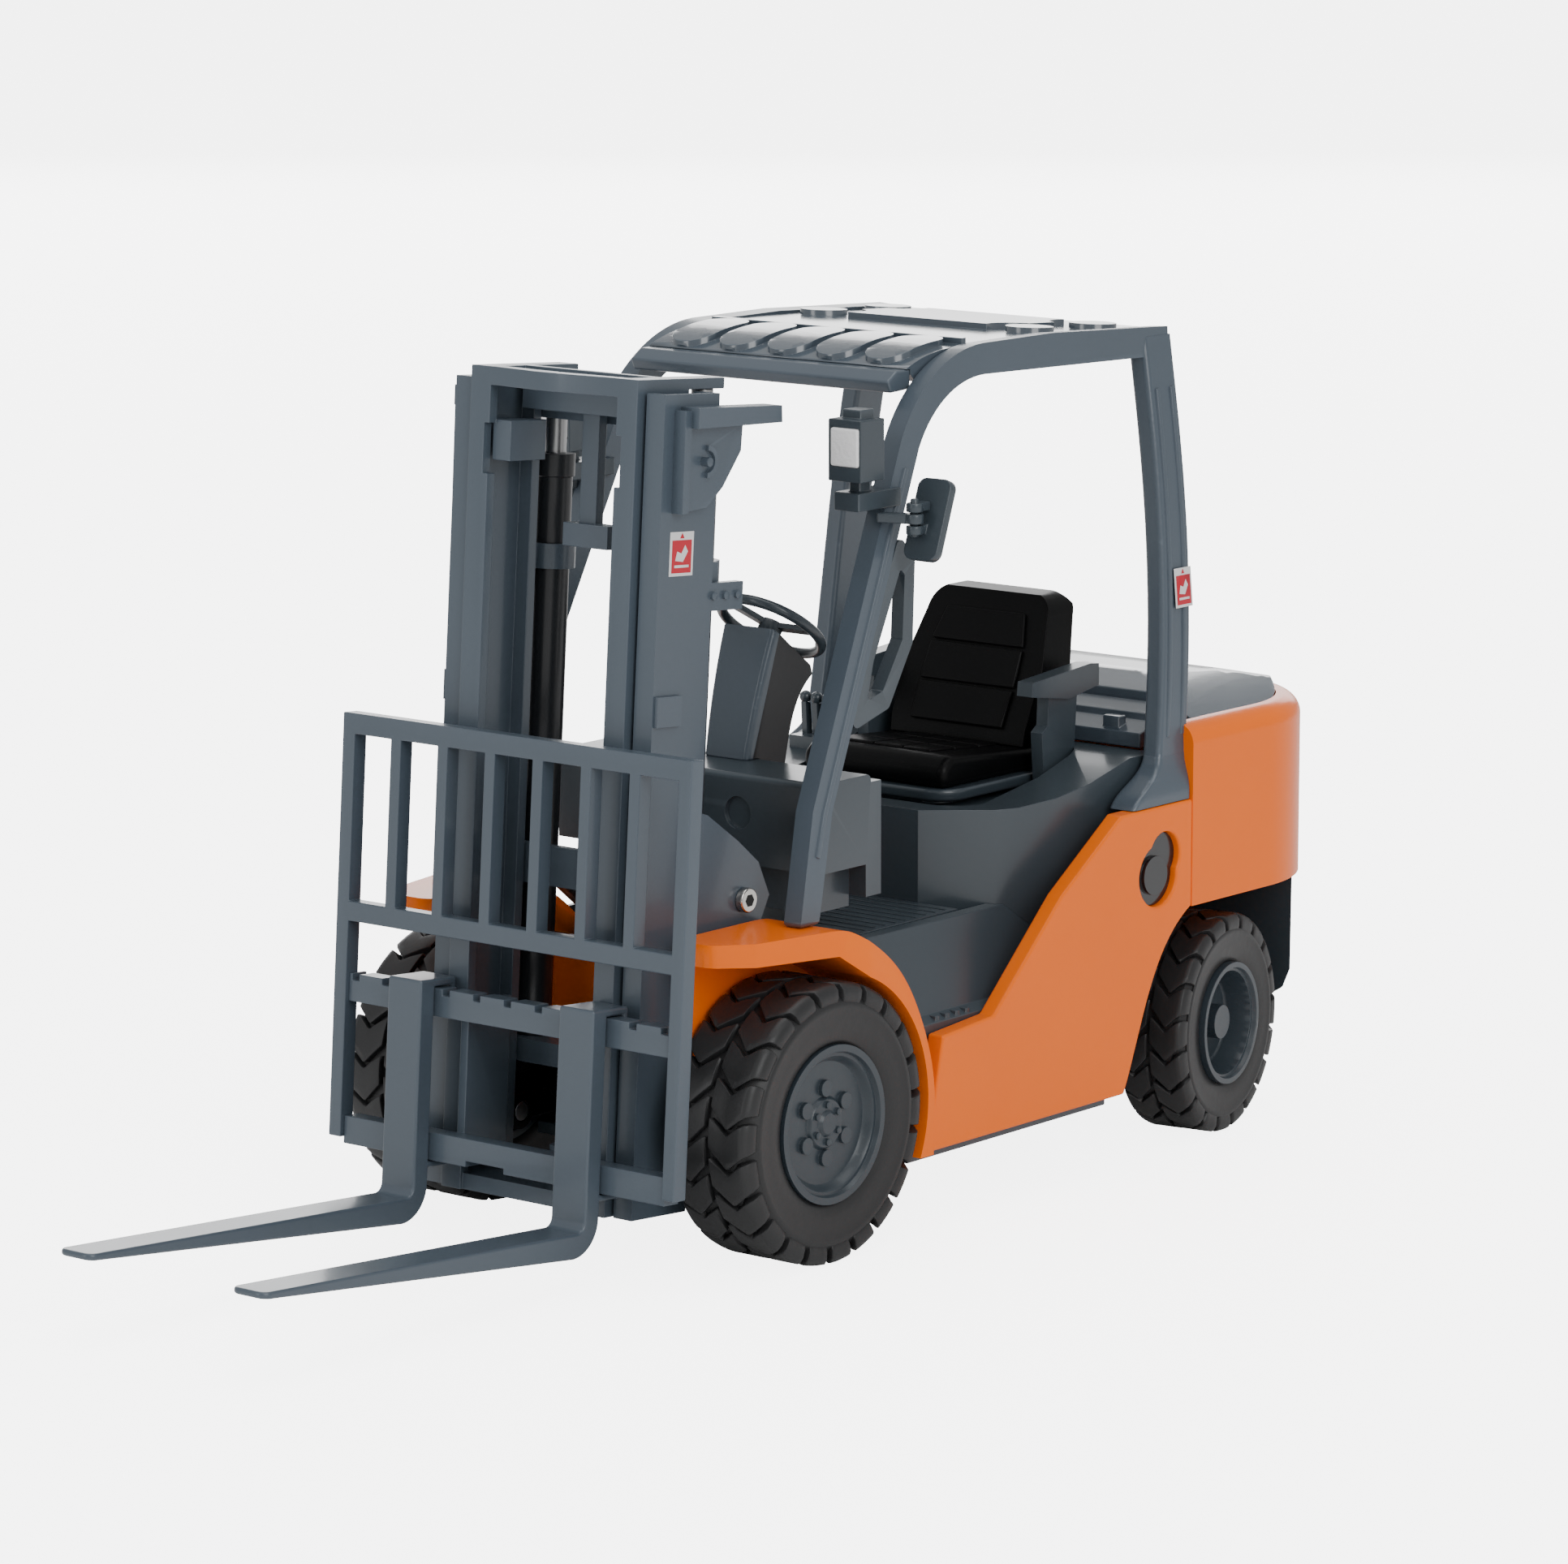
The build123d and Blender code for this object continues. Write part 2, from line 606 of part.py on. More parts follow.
with BuildPart() as seat_back:
    with BuildSketch(side(11.0)):
        Polygon((-48.6, 51.1), (-49.0, 53.4), (-56.4, 69.4), (-60.0, 69.6), (-61.2, 68.0), (-54.8, 51.1), align=None)
    extrude(amount=22.0)
    with BuildSketch(front(-70.0)):
        with BuildLine():
            Polyline((-10.6, 50.0), (-11.0, 60.0), (-9.6, 66.6))
            ThreePointArc((-9.6, 66.6), (-8.4, 68.9), (-6.0, 69.6))
            Line((-6.0, 69.6), (6.0, 69.6))
            ThreePointArc((6.0, 69.6), (8.4, 68.9), (9.6, 66.6))
            Polyline((9.6, 66.6), (11.0, 60.0), (10.6, 50.0), (-10.6, 50.0))
        make_face()
    extrude(amount=40.0, mode=Mode.INTERSECT)
write(seat_back, "seat_back")

# armrests on posts that stand on the seat pan's sides
with BuildPart() as armrests:
    for outer in (15.4, -13.0):
        with BuildSketch(side(outer)):
            Polygon((-44.2, 58.6), (-44.4, 60.4), (-56.6, 61.4), (-58.4, 61.2), (-58.4, 58.4), (-52.0, 57.4), align=None)
        extrude(amount=2.4)
    for outer in (14.9, -13.1):
        with BuildSketch(side(outer)):
            Polygon((-48.4, 58.4), (-48.2, 54.4), (-47.0, 53.6), (-47.6, 45.9), (-53.6, 45.9), (-54.4, 58.2), align=None)
        extrude(amount=1.8)
    add(engine_cover.part, mode=Mode.SUBTRACT)
write(armrests, "armrests")

with BuildPart() as control_levers:
    for place in (-17.6, -19.4, -21.2):
        with BuildSketch(side(place)):
            Polygon((-44.8, 47.6), (-46.0, 47.6), (-45.4, 54.0), (-44.4, 54.2), align=None)
        extrude(amount=0.8)
        with Locations((-44.9, place - 0.4, 54.8)):
            Sphere(0.8)
    box_at((-48.0, -42.8), (-22.6, -17.0), (46.4, 50.0))
    add(engine_cover.part, mode=Mode.SUBTRACT)
write(control_levers, "control_levers")

# ---------------------------------------------------------------- overhead guard
# front pillar and side rail lie in one plane that leans out towards the fender
GUARD_LEAN = radians(3.5)
guard_plane = Plane(origin=(0, ROOF_HALF, ROOF_Z), x_dir=(1, 0, 0), z_dir=(0, -cos(GUARD_LEAN), -sin(GUARD_LEAN)))


def guard_point(x, z):
    """Sketch coordinates in the leaning plane of a point given by truck x and z."""
    return x, (z - ROOF_Z) / cos(GUARD_LEAN)


def pillar_section(x, y, length, width):
    """Rounded rectangle of a pillar, by its centre."""
    with Locations((x, y)):
        RectangleRounded(length, width, 0.7)


with BuildPart() as guard_side_left:
    with BuildSketch(guard_plane):
        with BuildLine():
            Polyline(guard_point(-62.0, 104.4), guard_point(-38.0, 105.6), guard_point(-25.0, 105.6))
            ThreePointArc(guard_point(-25.0, 105.6), guard_point(-14.4, 102.9), guard_point(-7.0, 95.4))
            Polyline(guard_point(-7.0, 95.4), guard_point(13.0, 53.6), guard_point(16.4, SHELF_Z + 0.1),
                     guard_point(12.9, SHELF_Z + 0.1), guard_point(9.4, 53.0), guard_point(-10.4, 94.2))
            ThreePointArc(guard_point(-10.4, 94.2), guard_point(-16.2, 99.8), guard_point(-24.0, 101.8))
            Polyline(guard_point(-24.0, 101.8), guard_point(-62.0, 100.8), guard_point(-62.0, 104.4))
        make_face()
    extrude(amount=2.6)
    fillet(guard_side_left.faces().sort_by(Axis.Y)[-1].outer_wire().edges(), 0.6)
    # rear pillar, bowed outwards
    for z, x, y in ((51.0, -56.4, 27.1), (60.0, -57.5, 26.7), (74.0, -58.6, 25.8), (90.0, -59.2, 24.0), (103.4, -59.8, 21.7)):
        with BuildSketch(level(z)):
            pillar_section(x, y, 6.0, 2.8)
    loft()
    # flared foot
    with BuildSketch(level(45.4)):
        pillar_section(-52.6, 27.7, 12.4, 4.0)
    with BuildSketch(level(46.6)):
        pillar_section(-53.2, 27.7, 11.2, 4.0)
    with BuildSketch(level(49.2)):
        pillar_section(-55.7, 27.3, 7.2, 3.2)
    with BuildSketch(level(51.2)):
        pillar_section(-56.4, 27.1, 6.0, 2.8)
    loft()
    add(counterweight.part, mode=Mode.SUBTRACT)
write(guard_side_left, "guard_side_left")
write(mirrored(guard_side_left.part), "guard_side_right")

HEADER_HALF = 20.2
with BuildPart() as guard_header:
    with BuildSketch(side(HEADER_HALF)):
        Polygon((-9.2, 100.6), (-8.6, 102.0), (-10.4, 103.2), (-13.0, 103.2), (-13.0, 100.8), align=None)
    extrude(amount=2 * HEADER_HALF)
write(guard_header, "guard_header")

RIB_X = -24.2
DISCS = ((-42.0, 16.3), (-55.2, 16.3), (-42.0, -16.3), (-55.2, -16.3))


def roof_line(lift):
    """Side view of the roof skin, raised by lift; closed down to a level underside."""
    with BuildSketch() as shape:
        with BuildLine():
            skin = Spline((-12.2, 103.3 + lift), (-17.0, 104.7 + lift), (-24.0, 105.2 + lift), (-40.0, 105.0 + lift),
                          (-62.4, 104.0 + lift))
            Polyline(skin @ 1, (-62.4, 101.6), (-14.0, 101.6), skin @ 0)
        make_face()
    return shape.sketch


with BuildPart() as roof_relief:
    with BuildSketch(level(100)):
        with Locations((-18.2, 0)):
            with GridLocations(0, 7.6, 1, 5):
                SlotOverall(11.4, 6.2)
        with Locations((RIB_X, 0)):
            Rectangle(0.8, 2 * HEADER_HALF - 1.0)
        with Locations(*DISCS):
            Circle(3.0)
        with Locations((-48.4, 0)):
            Rectangle(16.4, 26.6)
        with Locations(*[(x, 0.92 * y) for x, y in DISCS]):
            Circle(4.4, mode=Mode.SUBTRACT)
        with Locations(*DISCS):
            Circle(3.0)
    extrude(amount=12)
    with BuildSketch(side(25)):
        add(roof_line(0.75))
    extrude(amount=50, mode=Mode.INTERSECT)
    box_at((-64, -13.2), (-25, 25), (100, 103.0), Mode.SUBTRACT)

with BuildPart() as roof_panel:
    with BuildSketch(side(HEADER_HALF)):
        add(roof_line(0.0))
    extrude(amount=2 * HEADER_HALF)
    box_at((-60.4, -16.0), (-18.6, 18.6), (100, 102.8), Mode.SUBTRACT)
    add(roof_relief.part)
    add(guard_header.part, mode=Mode.SUBTRACT)
write(roof_panel, "roof_panel")

with BuildPart() as assist_grip:
    with BuildSketch(side(24.4)) as loop:
        Polygon((-5.6, 84.4), (-8.6, 81.0), (-8.2, 71.0), (-3.6, 63.6), (3.6, 61.6), (2.4, 67.2), align=None)
        fillet(loop.vertices(), 0.9)
        with BuildSketch(side(24.4), mode=Mode.PRIVATE) as hole:
            Polygon((-5.8, 80.2), (-6.6, 79.4), (-6.2, 71.6), (-2.4, 65.8), (0.6, 65.0), (-0.6, 69.6), align=None)
            fillet(hole.vertices(), 0.35)
        add(hole.sketch_local, mode=Mode.SUBTRACT)
    extrude(amount=1.8)
    add(guard_side_left.part, mode=Mode.SUBTRACT)
write(assist_grip, "assist_grip")

# work lamps: bracket on the pillar, housing with a top lug, lens let into its face
LAMP_Y = 22.75
with BuildPart() as work_lamps:
    for hand in (1, -1):
        y = hand * LAMP_Y
        box_at((-1.6, 2.9), (y - 2.5, y + 2.5), (91.4, 98.8))
        box_at((-1.0, 1.6), (y - 1.4, y + 1.4), (98.8, 99.9))
        box_at((-2.6, -1.6), (y - 1.7, y + 1.7), (92.6, 97.6))
        box_at((-1.0, 1.0), (y - 0.8, y + 0.8), (90.0, 91.4))
        box_at((-6.0, 2.2), (y - 0.3 * hand - 1.9, y - 0.3 * hand + 1.9), (87.8, 90.0))
        box_at((2.3, 3.5), (y - 2.1, y + 2.1), (93.2, 97.8), Mode.SUBTRACT)
    add(guard_side_left.part, mode=Mode.SUBTRACT)
    add(mirrored(guard_side_left.part), mode=Mode.SUBTRACT)
write(work_lamps, "work_lamps")

with BuildPart() as lamp_lenses:
    for hand in (1, -1):
        y = hand * LAMP_Y
        box_at((2.3, 3.1), (y - 2.1, y + 2.1), (93.2, 97.8))
write(lamp_lenses, "lamp_lenses")

# mirror arms end in an upright pin; each head swings on its pin
MIRROR = (-3.6, 28.2)
with BuildPart() as mirror_arms:
    for hand in (1, -1):
        pin = (MIRROR[0], hand * MIRROR[1])
        with BuildSketch(level(86.2)):
            with BuildLine():
                Line((-2.0, hand * 24.0), pin)
            trace(line_width=1.4)
            with Locations(pin):
                Circle(1.1)
        extrude(amount=1.2)
        with BuildSketch(level(84.6)):
            with Locations(pin):
                Circle(0.5)
        extrude(amount=4.6)
write(mirror_arms, "mirror_arms")

MIRROR_LEAN = radians(20)
for hand, name in ((1, "left"), (-1, "right")):
    face = Plane(
        origin=(MIRROR[0] - 1.9, hand * (MIRROR[1] + 0.4), 86.6),
        x_dir=(0, 1, 0),
        z_dir=(cos(MIRROR_LEAN), 0, sin(MIRROR_LEAN)),
    )
    with BuildPart() as mirror_head:
        with BuildSketch(face):
            RectangleRounded(5.0, 10.0, 1.2)
        extrude(amount=-1.2)
        for low in (84.9, 87.6):
            with BuildSketch(level(low)):
                with Locations((MIRROR[0], hand * MIRROR[1])):
                    Circle(1.0)
                with Locations((MIRROR[0] - 1.1, hand * MIRROR[1])):
                    Rectangle(2.2, 1.4)
            extrude(amount=1.1)
        with BuildSketch(level(84)):
            with Locations((MIRROR[0], hand * MIRROR[1])):
                Circle(0.5 + RUN)
        extrude(amount=6, mode=Mode.SUBTRACT)
    write(mirror_head, f"mirror_{name}")

# ---------------------------------------------------------------- mast, outer stage
CYL_R = 2.2
ROD_R = 1.3
with BuildPart(MAST) as outer_mast:
    low_u, high_u = OUTER_U
    both_sides((low_u, high_u), (15.0, RAIL_HALF), (6.0, MAST_TOP))
    both_sides((low_u, low_u + 1.4), (13.4, 15.0), (6.0, MAST_TOP))
    both_sides((high_u - 1.4, high_u), (13.4, 15.0), (6.0, MAST_TOP))
    both_sides((14.2, high_u - 0.3), (RAIL_HALF, RAIL_HALF + 0.5), (64.4, 68.0))
    box_at((8.7, 10.1), (-15.2, 15.2), (42.4, 47.2))
    box_at((8.7, 10.1), (-15.2, 15.2), (98.4, 102.4))
    box_at((8.7, 10.1), (-15.2, 15.2), (6.0, 10.0))
    box_at((3.6, 10.1), (-15.2, 15.2), (20.6, 23.4))
    both_sides((3.2, 10.0), (15.0, RAIL_HALF), (77.6, 80.9))
    for hand in (1, -1):
        with BuildSketch(mast_side(hand * 16.2 if hand > 0 else -13.8)):
            with Locations(PIVOT):
                Circle(2.8)
            Polygon((8.0, 11.2), (12.0, 8.0), (12.0, 24.0), (8.0, 16.8), align=None)
        extrude(amount=2.4)
        with BuildSketch(mast_side(17.4 if hand > 0 else -RAIL_HALF)):
            Polygon((11.0, 54.0), (9.4, 53.6), (3.5, 50.1), (-0.5, 47.3), (-2.8, 43.2), (-1.4, 40.2), (5.8, 38.6), (11.0, 39.0), align=None)
        extrude(amount=1.2)
        with Locations((10.4, hand * 16.4, 46.4)):
            Box(1.6, 1.0, 14.4)
        for step in (4.4, 6.6, 8.8):
            with BuildSketch(mast_side(16.6 if hand > 0 else -15.4)):
                with Locations((step, 79.4)):
                    Circle(0.5)
            extrude(amount=1.2)
    # split clamps round the lift cylinders
    for hand in (1, -1):
        with BuildSketch(mast_level(80.2)):
            with Locations((CYL_UV[0], hand * CYL_UV[1])):
                Circle(2.9)
            with Locations((7.8, hand * 12.9)):
                Rectangle(3.0, 3.8)
            with Locations((CYL_UV[0], hand * CYL_UV[1])):
                Circle(CYL_R, mode=Mode.SUBTRACT)
        extrude(amount=3.0)
    with BuildSketch(mast_side(30)):
        with Locations(PIVOT):
            Circle(1.2 + RUN)
        with Locations(TILT_PIN):
            Circle(1.02)
    extrude(amount=60, mode=Mode.SUBTRACT)
write(outer_mast, "outer_mast")

# trapezoid brackets at the top of the outer rails
with BuildPart(MAST) as rail_brackets:
    for hand in (1, -1):
        with BuildSketch(mast_side(17.3 if hand > 0 else -RAIL_HALF)):
            Polygon((17.1, 101.4), (17.0, 89.4), (11.9, 90.0), (9.1, 92.3), (6.0, 96.5), (5.8, 101.4), align=None)
        extrude(amount=1.1)
        with BuildSketch(mast_side(17.9 if hand > 0 else -17.3)):
            Polygon((17.1, 101.4), (17.0, 89.4), (15.9, 89.5), (15.9, 101.4), align=None)
        extrude(amount=0.6)
        with BuildSketch(mast_side(19.0 if hand > 0 else -RAIL_HALF)):
            Polygon((16.0, 99.4), (16.0, 101.8), (0.8, 101.8), (0.6, 99.8), align=None)
        extrude(amount=2.8)
        with BuildSketch(mast_side(17.8 if hand > 0 else -17.3)):
            with Locations((12.6, 95.4)):
                Circle(1.9)
                Circle(1.3, mode=Mode.SUBTRACT)
                with Locations((1.2, 0)):
                    Rectangle(2.4, 4.0, mode=Mode.SUBTRACT)
        extrude(amount=0.5)
        with BuildSketch(mast_side(18.4 if hand > 0 else -17.3)):
            with Locations((12.9, 95.4)):
                Circle(0.55)
        extrude(amount=1.1)
write(rail_brackets, "rail_brackets")

with BuildPart(MAST) as lift_cylinders:
    for hand in (1, -1):
        with Locations((CYL_UV[0], hand * CYL_UV[1], 23.4)):
            Cylinder(CYL_R, 70.6, align=(Align.CENTER, Align.CENTER, Align.MIN))
        with Locations((CYL_UV[0], hand * CYL_UV[1], 91.2)):
            Cylinder(CYL_R + 0.25, 2.8, align=(Align.CENTER, Align.CENTER, Align.MIN))
        with Locations((CYL_UV[0], hand * CYL_UV[1], 30.0)):
            Cylinder(ROD_R + RUN, 80, align=(Align.CENTER, Align.CENTER, Align.MIN), mode=Mode.SUBTRACT)
write(lift_cylinders, "lift_cylinders")

with BuildPart(MAST) as tilt_pins:
    for hand in (1, -1):
        with BuildSketch(mast_side(17.9 if hand > 0 else -11.6)):
            with Locations(TILT_PIN):
                Circle(1.0)
        extrude(amount=6.3)
        with BuildSketch(mast_side(18.5 if hand > 0 else -17.4)):
            with Locations(TILT_PIN):
                Circle(1.5)
        extrude(amount=1.1)
write(tilt_pins, "tilt_pins")

# ---------------------------------------------------------------- mast, inner stage
with BuildPart(MAST) as inner_mast:
    low_u, high_u = INNER_U
    both_sides((low_u, high_u), (11.7, 12.9), (6.0, INNER_TOP))
    both_sides((low_u, low_u + 1.4), (9.8, 11.7), (6.0, INNER_TOP))
    both_sides((high_u - 1.4, high_u), (9.8, 11.7), (6.0, INNER_TOP))
    both_sides((high_u - 2.0, high_u), (9.0, 10.6), (92.0, 98.0), Mode.SUBTRACT)
    both_sides((4.2, low_u + 0.2), (9.8, 12.9), (103.4, INNER_TOP))
    both_sides((low_u, high_u), (9.8, 12.9), (103.4, INNER_TOP))
    with BuildSketch(mast_level(102.5)):
        Polygon((17.8, 10.2), (20.0, 10.2), (20.0, 9.0), (21.2, 2.0), (21.2, -2.0), (20.0, -9.0), (20.0, -10.2),
                (17.8, -10.2), (18.6, -2.0), (18.6, 2.0), align=None)
    extrude(amount=2.2)
    box_at((12.4, 13.8), (-10.2, 10.2), (99.6, INNER_TOP))
    box_at((12.4, 18.8), (-10.2, -7.4), (93.6, 98.4))
    box_at((11.2, 12.6), (-1.6, 1.0), (86.4, 102.6))
    box_at((10.8, 13.4), (-3.4, 3.6), (83.8, 86.6))
    box_at((13.0, 19.6), (-12.0, 12.0), (6.0, 8.0))
    with Locations((15.0, 1.6, 8.0)):
        Cylinder(1.4, 4.6, align=(Align.CENTER, Align.CENTER, Align.MIN))
write(inner_mast, "inner_mast")

with BuildPart(MAST) as lift_rods:
    for hand in (1, -1):
        with Locations((CYL_UV[0], hand * CYL_UV[1], 34.0)):
            Cylinder(ROD_R, 69.4, align=(Align.CENTER, Align.CENTER, Align.MIN))
write(lift_rods, "lift_rods")

# ---------------------------------------------------------------- carriage and forks
SIDE_BAR = (25.3, BACKREST_HALF)
with BuildPart(MAST) as backrest:
    both_sides(BACKREST_U, SIDE_BAR, (10.6, 62.1))
    box_at(BACKREST_U, (-SIDE_BAR[0], SIDE_BAR[0]), (59.6, 62.1))
    box_at(BACKREST_U, (-SIDE_BAR[0], SIDE_BAR[0]), (37.0, 39.4))
    with Locations((sum(BACKREST_U) / 2, 0, 49.5)):
        with GridLocations(0, 7.46, 1, 6):
            Box(BACKREST_U[1] - BACKREST_U[0], 1.6, 20.6)
write(backrest, "backrest")

with BuildPart(MAST) as fork_carriage:
    box_at(BAR_U, (-SIDE_BAR[0], SIDE_BAR[0]), (27.2, 30.6))
    box_at(BAR_U, (-SIDE_BAR[0], SIDE_BAR[0]), (9.8, 13.2))
    box_at((BAR_U[0] - 1, BAR_U[1] + 1), (-5.6, 0.4), (9.0, 10.5), Mode.SUBTRACT)
    for notch in range(-5, 6):
        box_at((BAR_U[0] - 1, BAR_U[1] + 1), (4.85 * notch - 0.55, 4.85 * notch + 0.55), (29.8, 31.0), Mode.SUBTRACT)
    both_sides((13.8, BAR_U[0]), (8.2, 9.4), (10.6, 29.2))
    for hand in (1, -1):
        for height in (14.6, 25.6):
            with BuildSketch(mast_side(11.4 if hand > 0 else -9.2)):
                with Locations((15.3, height)):
                    Circle(3.05)
            extrude(amount=2.2)
write(fork_carriage, "fork_carriage")

SHANK_U = (24.15, 26.7)
BLADE_W = 5.55
for centre, name in zip(FORK_V, ("left", "right")):
    with BuildPart(MAST) as fork:
        with BuildSketch(mast_side(centre + FORK_W / 2)):
            with BuildLine():
                Polyline((SHANK_U[0], 10.4), (SHANK_U[0], 30.75), (21.2, 30.75), (21.2, 29.6), (20.4, 29.6), (20.4, 31.7),
                         (SHANK_U[1], 31.7), (SHANK_U[1], BLADE_W + 1.2))
                ThreePointArc((SHANK_U[1], BLADE_W + 1.2), (SHANK_U[1] + 0.35, BLADE_W + 0.35), (SHANK_U[1] + 1.2, BLADE_W))
                Polyline((SHANK_U[1] + 1.2, BLADE_W), (FORK_TIP, BLADE_W), (FORK_TIP, BLADE_W - 0.8), (SHANK_U[0] + 4.2, 2.5))
                ThreePointArc((SHANK_U[0] + 4.2, 2.5), (SHANK_U[0] + 1.2, 3.9), (SHANK_U[0], 6.8))
                Polyline((SHANK_U[0], 6.8), (SHANK_U[0], 8.9), (20.4, 8.9), (20.4, 10.3), (21.2, 10.3), (21.2, 9.65), (SHANK_U[0], 9.65),
                         (SHANK_U[0], 10.4))
            make_face()
        extrude(amount=FORK_W)
        tip = fork.edges().filter_by(Axis(MAST.origin, MAST.z_dir)).sort_by(Axis.X)[-2:]
        fillet(tip, 1.3)
    write(fork, f"fork_{name}")

# ---------------------------------------------------------------- tilt cylinders
reach_x, reach_z = PIN_XZ[0] - ANCHOR[0], PIN_XZ[1] - ANCHOR[1]
REACH = hypot(reach_x, reach_z)
RAISE = atan2(reach_z, reach_x)
tilt_axis = Plane(origin=(ANCHOR[0], 0, ANCHOR[1]), x_dir=(cos(RAISE), 0, sin(RAISE)), z_dir=(0, -1, 0))


def along(distance, y):
    """Plane across the tilt cylinder at this distance from its chassis pivot."""
    point = tilt_axis.from_local_coords((distance, 0, -y))
    return Plane(origin=point, x_dir=(0, 1, 0), z_dir=tilt_axis.x_dir)


with BuildPart() as tilt_barrels:
    for hand in (1, -1):
        y = hand * 13.6
        with BuildSketch(along(1.0, y)):
            Circle(1.6)
        extrude(amount=15.0)
        with BuildSketch(Plane(origin=(ANCHOR[0], y + 1.4, ANCHOR[1]), z_dir=(0, -1, 0))):
            Circle(1.9)
        extrude(amount=2.8)
        with BuildSketch(along(16.1, y)):
            Circle(0.8 + RUN)
        extrude(amount=-12.6, mode=Mode.SUBTRACT)
        with BuildSketch(Plane(origin=(ANCHOR[0], y + 2.4, ANCHOR[1]), z_dir=(0, -1, 0))):
            Circle(1.0 + RUN)
        extrude(amount=4.8, mode=Mode.SUBTRACT)
write(tilt_barrels, "tilt_barrels")

with BuildPart() as tilt_rods:
    for hand in (1, -1):
        y = hand * 13.6
        with BuildSketch(along(8.5, y)):
            Circle(0.8)
        extrude(amount=REACH - 9.0)
        with BuildSketch(Plane(origin=(PIN_XZ[0], y + 1.2, PIN_XZ[1]), z_dir=(0, -1, 0))):
            Circle(2.2)
        extrude(amount=2.4)
        with BuildSketch(Plane(origin=(PIN_XZ[0], y + 2.2, PIN_XZ[1]), z_dir=(0, -1, 0))):
            Circle(1.35)
        extrude(amount=4.4, mode=Mode.SUBTRACT)
write(tilt_rods, "tilt_rods")
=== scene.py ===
import json
import math

import bmesh
import bpy
from mathutils import Matrix, Vector


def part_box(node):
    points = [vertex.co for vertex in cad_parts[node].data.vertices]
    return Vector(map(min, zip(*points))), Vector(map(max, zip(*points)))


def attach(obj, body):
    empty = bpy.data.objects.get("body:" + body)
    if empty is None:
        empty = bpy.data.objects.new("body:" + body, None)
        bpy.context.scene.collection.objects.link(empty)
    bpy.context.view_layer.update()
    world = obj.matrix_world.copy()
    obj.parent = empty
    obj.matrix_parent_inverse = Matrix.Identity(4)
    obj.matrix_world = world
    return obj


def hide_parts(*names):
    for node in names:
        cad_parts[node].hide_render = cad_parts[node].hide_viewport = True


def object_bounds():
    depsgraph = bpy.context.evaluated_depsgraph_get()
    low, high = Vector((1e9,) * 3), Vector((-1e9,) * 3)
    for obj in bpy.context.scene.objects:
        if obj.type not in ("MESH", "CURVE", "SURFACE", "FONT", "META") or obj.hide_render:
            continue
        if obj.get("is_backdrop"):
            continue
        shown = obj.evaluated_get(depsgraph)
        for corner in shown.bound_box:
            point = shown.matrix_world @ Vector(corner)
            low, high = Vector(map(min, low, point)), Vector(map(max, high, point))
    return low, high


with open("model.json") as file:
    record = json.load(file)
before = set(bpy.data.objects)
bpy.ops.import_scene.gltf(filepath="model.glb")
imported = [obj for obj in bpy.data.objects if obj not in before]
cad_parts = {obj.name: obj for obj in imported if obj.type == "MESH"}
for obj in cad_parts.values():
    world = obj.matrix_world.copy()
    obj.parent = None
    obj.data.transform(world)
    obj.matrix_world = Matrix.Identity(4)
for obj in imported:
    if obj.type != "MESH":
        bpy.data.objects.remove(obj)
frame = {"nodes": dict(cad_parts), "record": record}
size_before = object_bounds()

MM = 0.001
BODY_OF = {}
for body_name, members in frame["record"]["behaviour"]["bodies"].items():
    for member in members:
        BODY_OF[member] = body_name
SLOT_OF = {entry["node"]: entry["material_slot"] for entry in frame["record"]["subparts"]}


# ------------------------------------------------------------------ materials
CLOUD_SCALE = 60.0


